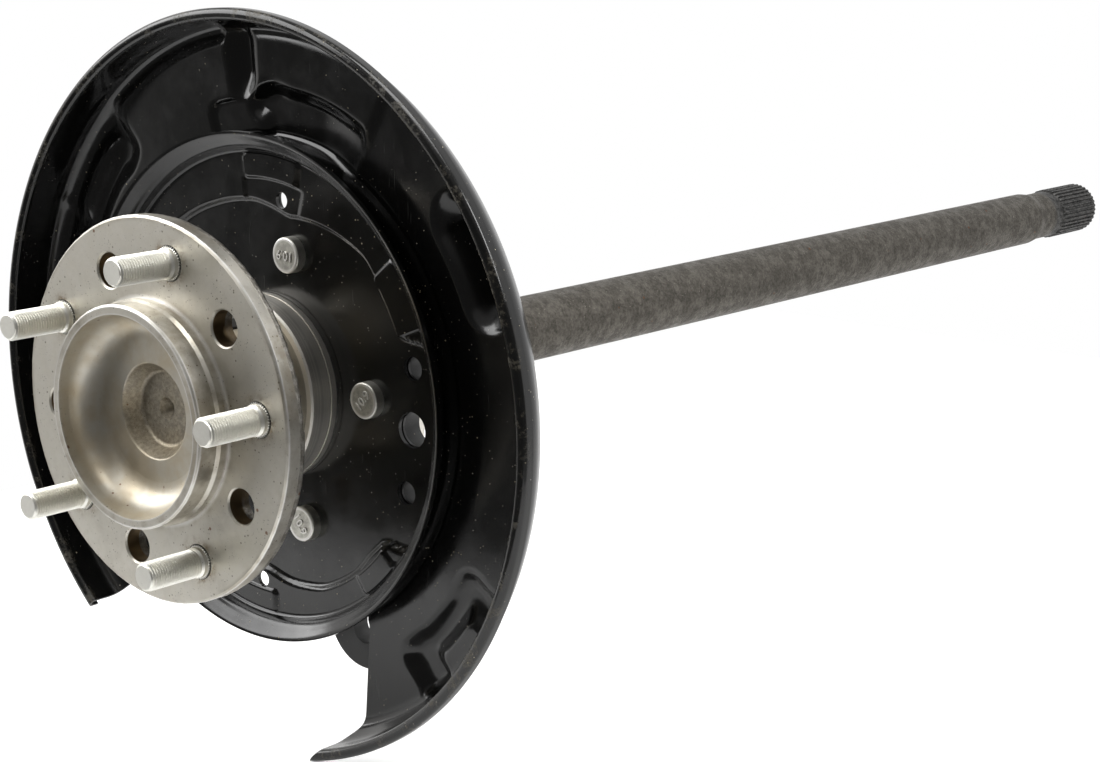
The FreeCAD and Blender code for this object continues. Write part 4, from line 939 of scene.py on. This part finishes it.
shield = {
    "bore": 48, "seat": 79, "riseStart": 124, "riseEnd": 127, "floor": 77,
    "wallRadius": 182, "wallFillet": 11.5, "front": 54.3, "rollRadius": 3, "edge": 188, "skirt": 61,
    "thickness": 1.2, "turnSteps": 540,
    "holeFrom": 70, "holeTo": 90, "notchFrom": 30, "notchDepth": 80,
    "fadeAlong": (57, 8), "fadeRadius": (121.5, 5),     # start and width of the pressings' fade
    # depth away from the wheel and width of the sloped wall; a block is
    # (start angle, stop angle, inner radius, outer radius, corner)
    "pressings": [
        # corner recess, and the groove above it
        {"depth": 6.0, "wall": 10, "blend": 9, "byTurn": (60, 76, 0.42),
         "blocks": [(60.8, 91.4, 116, 147.6, 10), (86, 95.0, 134, 146.0, 6)]},
        {"depth": 7.2, "wall": 11, "byRadius": (139, 157, 0.2), "blocks": [(93.9, 98.1, 138, 182, 4)]},
        # low panel
        {"depth": 1.9, "wall": 2.6, "blocks": [(90, 106.6, 116, 143.5, 7)]},
        # gutter, and the one at the top
        {"depth": 5, "wall": 11, "blend": 10,
         "blocks": [(99, 137, 175.5, 192, 3), (135.5, 154.5, 169, 192, 3), (132.4, 137.2, 150, 178, 2.5),
                    (134.5, 170, 148, 160, 5), (154, 176, 148, 192, 5)]},
        {"depth": 2.6, "wall": 7, "blocks": [(62.5, 93, 174.5, 178.5, 2)]},
        # right floor, side pocket and foot pocket
        {"depth": 2, "wall": 4.4, "blocks": [(-85, 61.4, 112, 178, 8)]},
        {"depth": 20, "wall": 25, "blocks": [(19.6, 40, 149, 167, 9)]},
        {"depth": 7.4, "wall": 13, "blend": 6,
         "blocks": [(306.6, 330.4, 148.6, 161.6, 6), (324.8, 331, 149, 174, 6), (306.2, 313.2, 149, 175, 6)]},
    ],
    "notch": [(65.2, -104.4), (60.3, -166), (46.8, -179.2), (37.8, -189), (32.8, -203), (-137.7, -203),
              (-137.7, -149.2), (-78.7, -85.3)],
    "notchRound": (12, 12, 12, 0, 0, 0, 0, 12),
}


def roundedOutline(corners, radii, count=6):
    outline = []
    for index, here in enumerate(corners):
        radius = radii[index]
        here = Vector(here)
        if not radius:
            outline.append(tuple(here))
            continue
        before = (Vector(corners[index - 1]) - here).normalized()
        after = (Vector(corners[(index + 1) % len(corners)]) - here).normalized()
        half = before.angle(after) / 2
        centre = here + (before + after).normalized() * (radius / math.sin(half))
        first = here + before * (radius / math.tan(half)) - centre
        turn = first.angle_signed(here + after * (radius / math.tan(half)) - centre)
        for step in range(count + 1):
            outline.append(tuple(centre + Matrix.Rotation(-turn * step / count, 2) @ first))
    return outline


def makeShield():
    s = shield
    wall, edge = s["wallRadius"], s["edge"]
    bend = wall - s["wallFillet"]
    root = s["floor"] - s["wallFillet"]
    lipMiddle = s["front"] + s["rollRadius"]
    profile = evenPoints((s["bore"], s["seat"]), (s["riseStart"] - 1, s["seat"]), 6)
    profile += evenPoints((s["riseStart"], s["seat"]), (s["riseEnd"], s["floor"]), 3)
    profile += evenPoints((s["riseEnd"] + 1, s["floor"]), (bend - 0.8, s["floor"]), 36)
    profile += arcPoints((bend, root), s["wallFillet"], 90, 0, 11)
    profile += evenPoints((wall, root - 1.4), (wall, lipMiddle + 0.5), 5)
    profile += arcPoints((wall + s["rollRadius"], lipMiddle), s["rollRadius"], 180, 360, 12)
    profile += [(edge, lipMiddle + 1.8), (edge, s["skirt"])]
    sheet = turnProfile("dustShield", profile, s["turnSteps"])
    (fadeAlong, alongWidth), (fadeRadius, radiusWidth) = s["fadeAlong"], s["fadeRadius"]
    pressSheet(sheet, s["pressings"], lambda radius, along:
               smooth((along - fadeAlong) / alongWidth) * smooth((radius - fadeRadius) / radiusWidth))
    turnOutwards(sheet)
    # the thickness goes behind the wheel's side
    up = max(sheet.data.polygons, key=lambda face: -abs(face.center.y - s["floor"] * mm)).normal.y
    applyModifier(sheet, "SOLIDIFY", thickness=s["thickness"] * mm, offset=-1 if up < 0 else 1)
    cutters = [holeCutter(wide, circle, angle, s["holeFrom"], s["holeTo"])
               for wide, narrow, circle, angle in sheetHoles]
    outline = roundedOutline(s["notch"], s["notchRound"])
    notch = meshPiece("notchCutter", [(x * mm, s["notchFrom"] * mm, z * mm) for x, z in outline],
                      [tuple(range(len(outline)))])
    wholeMesh(notch)
    bpy.ops.mesh.extrude_region_move(TRANSFORM_OT_translate={"value": (0, s["notchDepth"] * mm, 0)})
    turnOutwards(notch)
    cutAway(sheet, cutters + [notch])
    cleanMesh(sheet, 40)
    finishPiece(sheet, "sheet", "housing", "black_coating", "dust_shield")


plate = {
    "bore": 47.7, "face": 76, "rimTop": 127.8, "rimFront": 62, "thickness": 2.0, "turnSteps": 540,
    "flatStart": 83, "flatStop": 116.2,
    # the rim: a tight foot as (radius of its middle, radius, start, stop, steps), then a flatter
    # flare as (radius, height before the track)
    "foot": (116.4, 2.6, 84, 16, 7),
    "flare": [(119.3, 3.6), (119.9, 4.9), (120.8, 6.1), (122.1, 7.2)], "flareStop": (123.6, 8.2),
    "holeFrom": 60, "holeTo": 90,
    # radii past which there is no pad and no track, and where the track fades out towards the rim
    "padLimit": 118.4, "trackLimit": 124, "fadeStart": 116.5, "fadeStop": 119.5,
    # inner edge of the raised shoe track: angle, radius
    "trackHeight": 3, "trackWall": 3.0, "spread": 4, "reach": 20, "nearest": 24,
    "trackEdge": [(46, 101), (63, 94.8), (79, 88.9), (94, 93.8), (112, 96), (130, 99.5), (158, 100.5),
                  (188, 100), (218, 99), (246, 97), (268, 95.4), (277.5, 100.4), (291, 104.6),
                  (305, 104.6), (313, 102.2), (321, 103.4), (324.5, 118.5), (351, 121), (377.5, 118.5),
                  (380.5, 99), (393, 98.6)],
    # a pad with a negative depth stands towards the wheel; the one with the hold pin's hole lies back
    "pads": [
        {"depth": -1.3, "wall": 1.1, "blocks": [(76, 95.8, 105.3, 117.2, 2)]},
        {"depth": 0.8, "wall": 1.1, "blocks": [(73.5, 97, 88, 104.6, 2)]},
        {"depth": -1.3, "wall": 1.1, "blocks": [(254.5, 272, 106, 117, 2)]},
        {"depth": -1.3, "wall": 1.1, "blocks": [(21.5, 39.5, 100, 117, 2)]},
        {"depth": -1.3, "wall": 1.1, "blocks": [(306, 319.5, 106, 117, 2)]},
    ],
}


def makeTrackLimit():
    # smooth closed curve of the track's inner edge, as a radius for each half degree
    spots = sorted((angle % 360, radius) for angle, radius in plate["trackEdge"])
    spots = [(spots[-1][0] - 360, spots[-1][1])] + spots + [(spots[0][0] + 360, spots[0][1])]
    coarse = []
    for half in range(720):
        angle = half / 2
        for (a, ra), (b, rb) in zip(spots, spots[1:]):
            if a <= angle <= b:
                coarse.append(ra + (rb - ra) * (angle - a) / (b - a))
                break
    spread = plate["spread"]
    return [sum(coarse[(i + k) % 720] for k in range(-spread, spread + 1)) / (2 * spread + 1)
            for i in range(720)]


def insideTrack(radius, angle, limits):
    # how far a place lies inside the track's inner edge, in mm, and no more than the reach
    nearest = int(angle * 2) % 720
    shortest = plate["reach"]
    if abs(limits[nearest] - radius) > shortest:
        return math.copysign(shortest, limits[nearest] - radius)
    place = Vector(polar(radius, angle))
    for step in range(-plate["nearest"], plate["nearest"]):
        first = Vector(polar(limits[(nearest + step) % 720], (nearest + step) / 2))
        second = Vector(polar(limits[(nearest + step + 1) % 720], (nearest + step + 1) / 2))
        side = second - first
        share = min(max((place - first).dot(side) / side.length_squared, 0), 1)
        shortest = min(shortest, (place - first - side * share).length)
    return math.copysign(shortest, limits[nearest] - radius)


def makePlate():
    p = plate
    front = p["face"] - p["trackHeight"]
    limits = makeTrackLimit()
    middle, bend, start, stop, steps = p["foot"]
    profile = evenPoints((p["bore"], front), (p["flatStart"], front), 8)
    profile += evenPoints((p["flatStart"] + 1, front), (p["flatStop"], front), 42)
    profile += arcPoints((middle, front - bend), bend, start, stop, steps)
    profile += [(radius, front - height) for radius, height in p["flare"]]
    profile += evenPoints((p["flareStop"][0], front - p["flareStop"][1]),
                          (p["rimTop"] - 1.4, p["rimFront"] + 0.6), 4)
    profile += [(p["rimTop"] - 0.4, p["rimFront"] + 0.1), (p["rimTop"] + 0.4, p["rimFront"])]
    sheet = turnProfile("backingPlate", profile, p["turnSteps"])
    for vertex in sheet.data.vertices:
        radius, angle = placeOf(vertex)
        if radius > p["trackLimit"]:
            continue
        inside = insideTrack(radius, angle, limits)
        shift = p["trackHeight"] * smooth(inside / p["trackWall"] + 0.5)
        if radius < p["padLimit"]:
            moved = sum(pressing(radius, angle, pad) for pad in p["pads"])
            shift += moved * smooth(0.5 - inside / 2)
        left = (p["fadeStop"] - radius) / (p["fadeStop"] - p["fadeStart"])
        keep = smooth(left) if radius > p["fadeStart"] else 1
        vertex.co.y += shift * mm * keep
    turnOutwards(sheet)
    up = min(sheet.data.polygons, key=lambda face: abs(face.center.length - 0.11)).normal.y
    applyModifier(sheet, "SOLIDIFY", thickness=p["thickness"] * mm, offset=-1 if up < 0 else 1)
    cutAway(sheet, [holeCutter(narrow, circle, angle, p["holeFrom"], p["holeTo"])
                    for wide, narrow, circle, angle in sheetHoles])
    cleanMesh(sheet, 40)
    finishPiece(sheet, "sheet", "housing", "black_coating", "backing_plate")


makeShield()
print("dust shield made")
makePlate()
print("backing plate made")


# floor and light

def makeFloor():
    (left, front), (right, back) = studio["floorBox"]
    deselectAll()
    bpy.ops.mesh.primitive_plane_add(size=1, location=((left + right) / 2, (front + back) / 2,
                                                       cadBox[0][2] - studio["floorGap"]))
    floor = bpy.context.object
    floor.name = "studioFloor"
    floor.scale = (right - left, back - front, 1)
    applyPlace(floor)
    finish = Finish("floorWhite", Roughness=studio["floorRoughness"], Base_Color=studio["floorColour"],
                    Specular_IOR_Level=0.0, Emission_Color=(1, 1, 1, 1))
    rays = addNode(finish.tree, "LightPath")
    seen = finish.most(rays.outputs["Is Camera Ray"], rays.outputs["Is Transmission Ray"])
    finish.set(Emission_Strength=finish.times(seen, studio["floorGlow"]))
    floor.data.materials.append(finish.material)


def makeWorld():
    world = bpy.data.worlds.new("studioWorld")
    bpy.context.scene.world = world
    world.use_nodes = True
    tree = world.node_tree
    tree.nodes.clear()
    way = tree.nodes.new("ShaderNodeTexCoord").outputs["Generated"]
    split = addNode(tree, "SeparateXYZ", {"Vector": way})
    light = studio["front"]
    for side, axis in (("left", "X"), ("above", "Z"), ("right", "X"), ("behind", "Y")):
        bright, start, stop = studio[side]
        here = product(tree, softStep(tree, split.outputs[axis], start, stop), bright)
        light = calc(tree, "MAXIMUM", light, here)
    room = addNode(tree, "Background", {"Color": studio["roomColour"], "Strength": light})
    white = addNode(tree, "Background", {"Color": (1, 1, 1, 1), "Strength": 1})
    rays = addNode(tree, "LightPath")
    behind = softStep(tree, split.outputs["Y"], *studio["behind"][1:])
    glossy = product(tree, rays.outputs["Is Glossy Ray"], behind)
    seen = calc(tree, "MAXIMUM", rays.outputs["Is Camera Ray"], rays.outputs["Is Transmission Ray"])
    seen = calc(tree, "MAXIMUM", seen, glossy)
    mixed = addNode(tree, "MixShader", {0: seen, 1: room.outputs[0], 2: white.outputs[0]})
    end = tree.nodes.new("ShaderNodeOutputWorld")
    tree.links.new(mixed.outputs[0], end.inputs["Surface"])


makeStudio()
makeFloor()
makeWorld()
print("studio made")
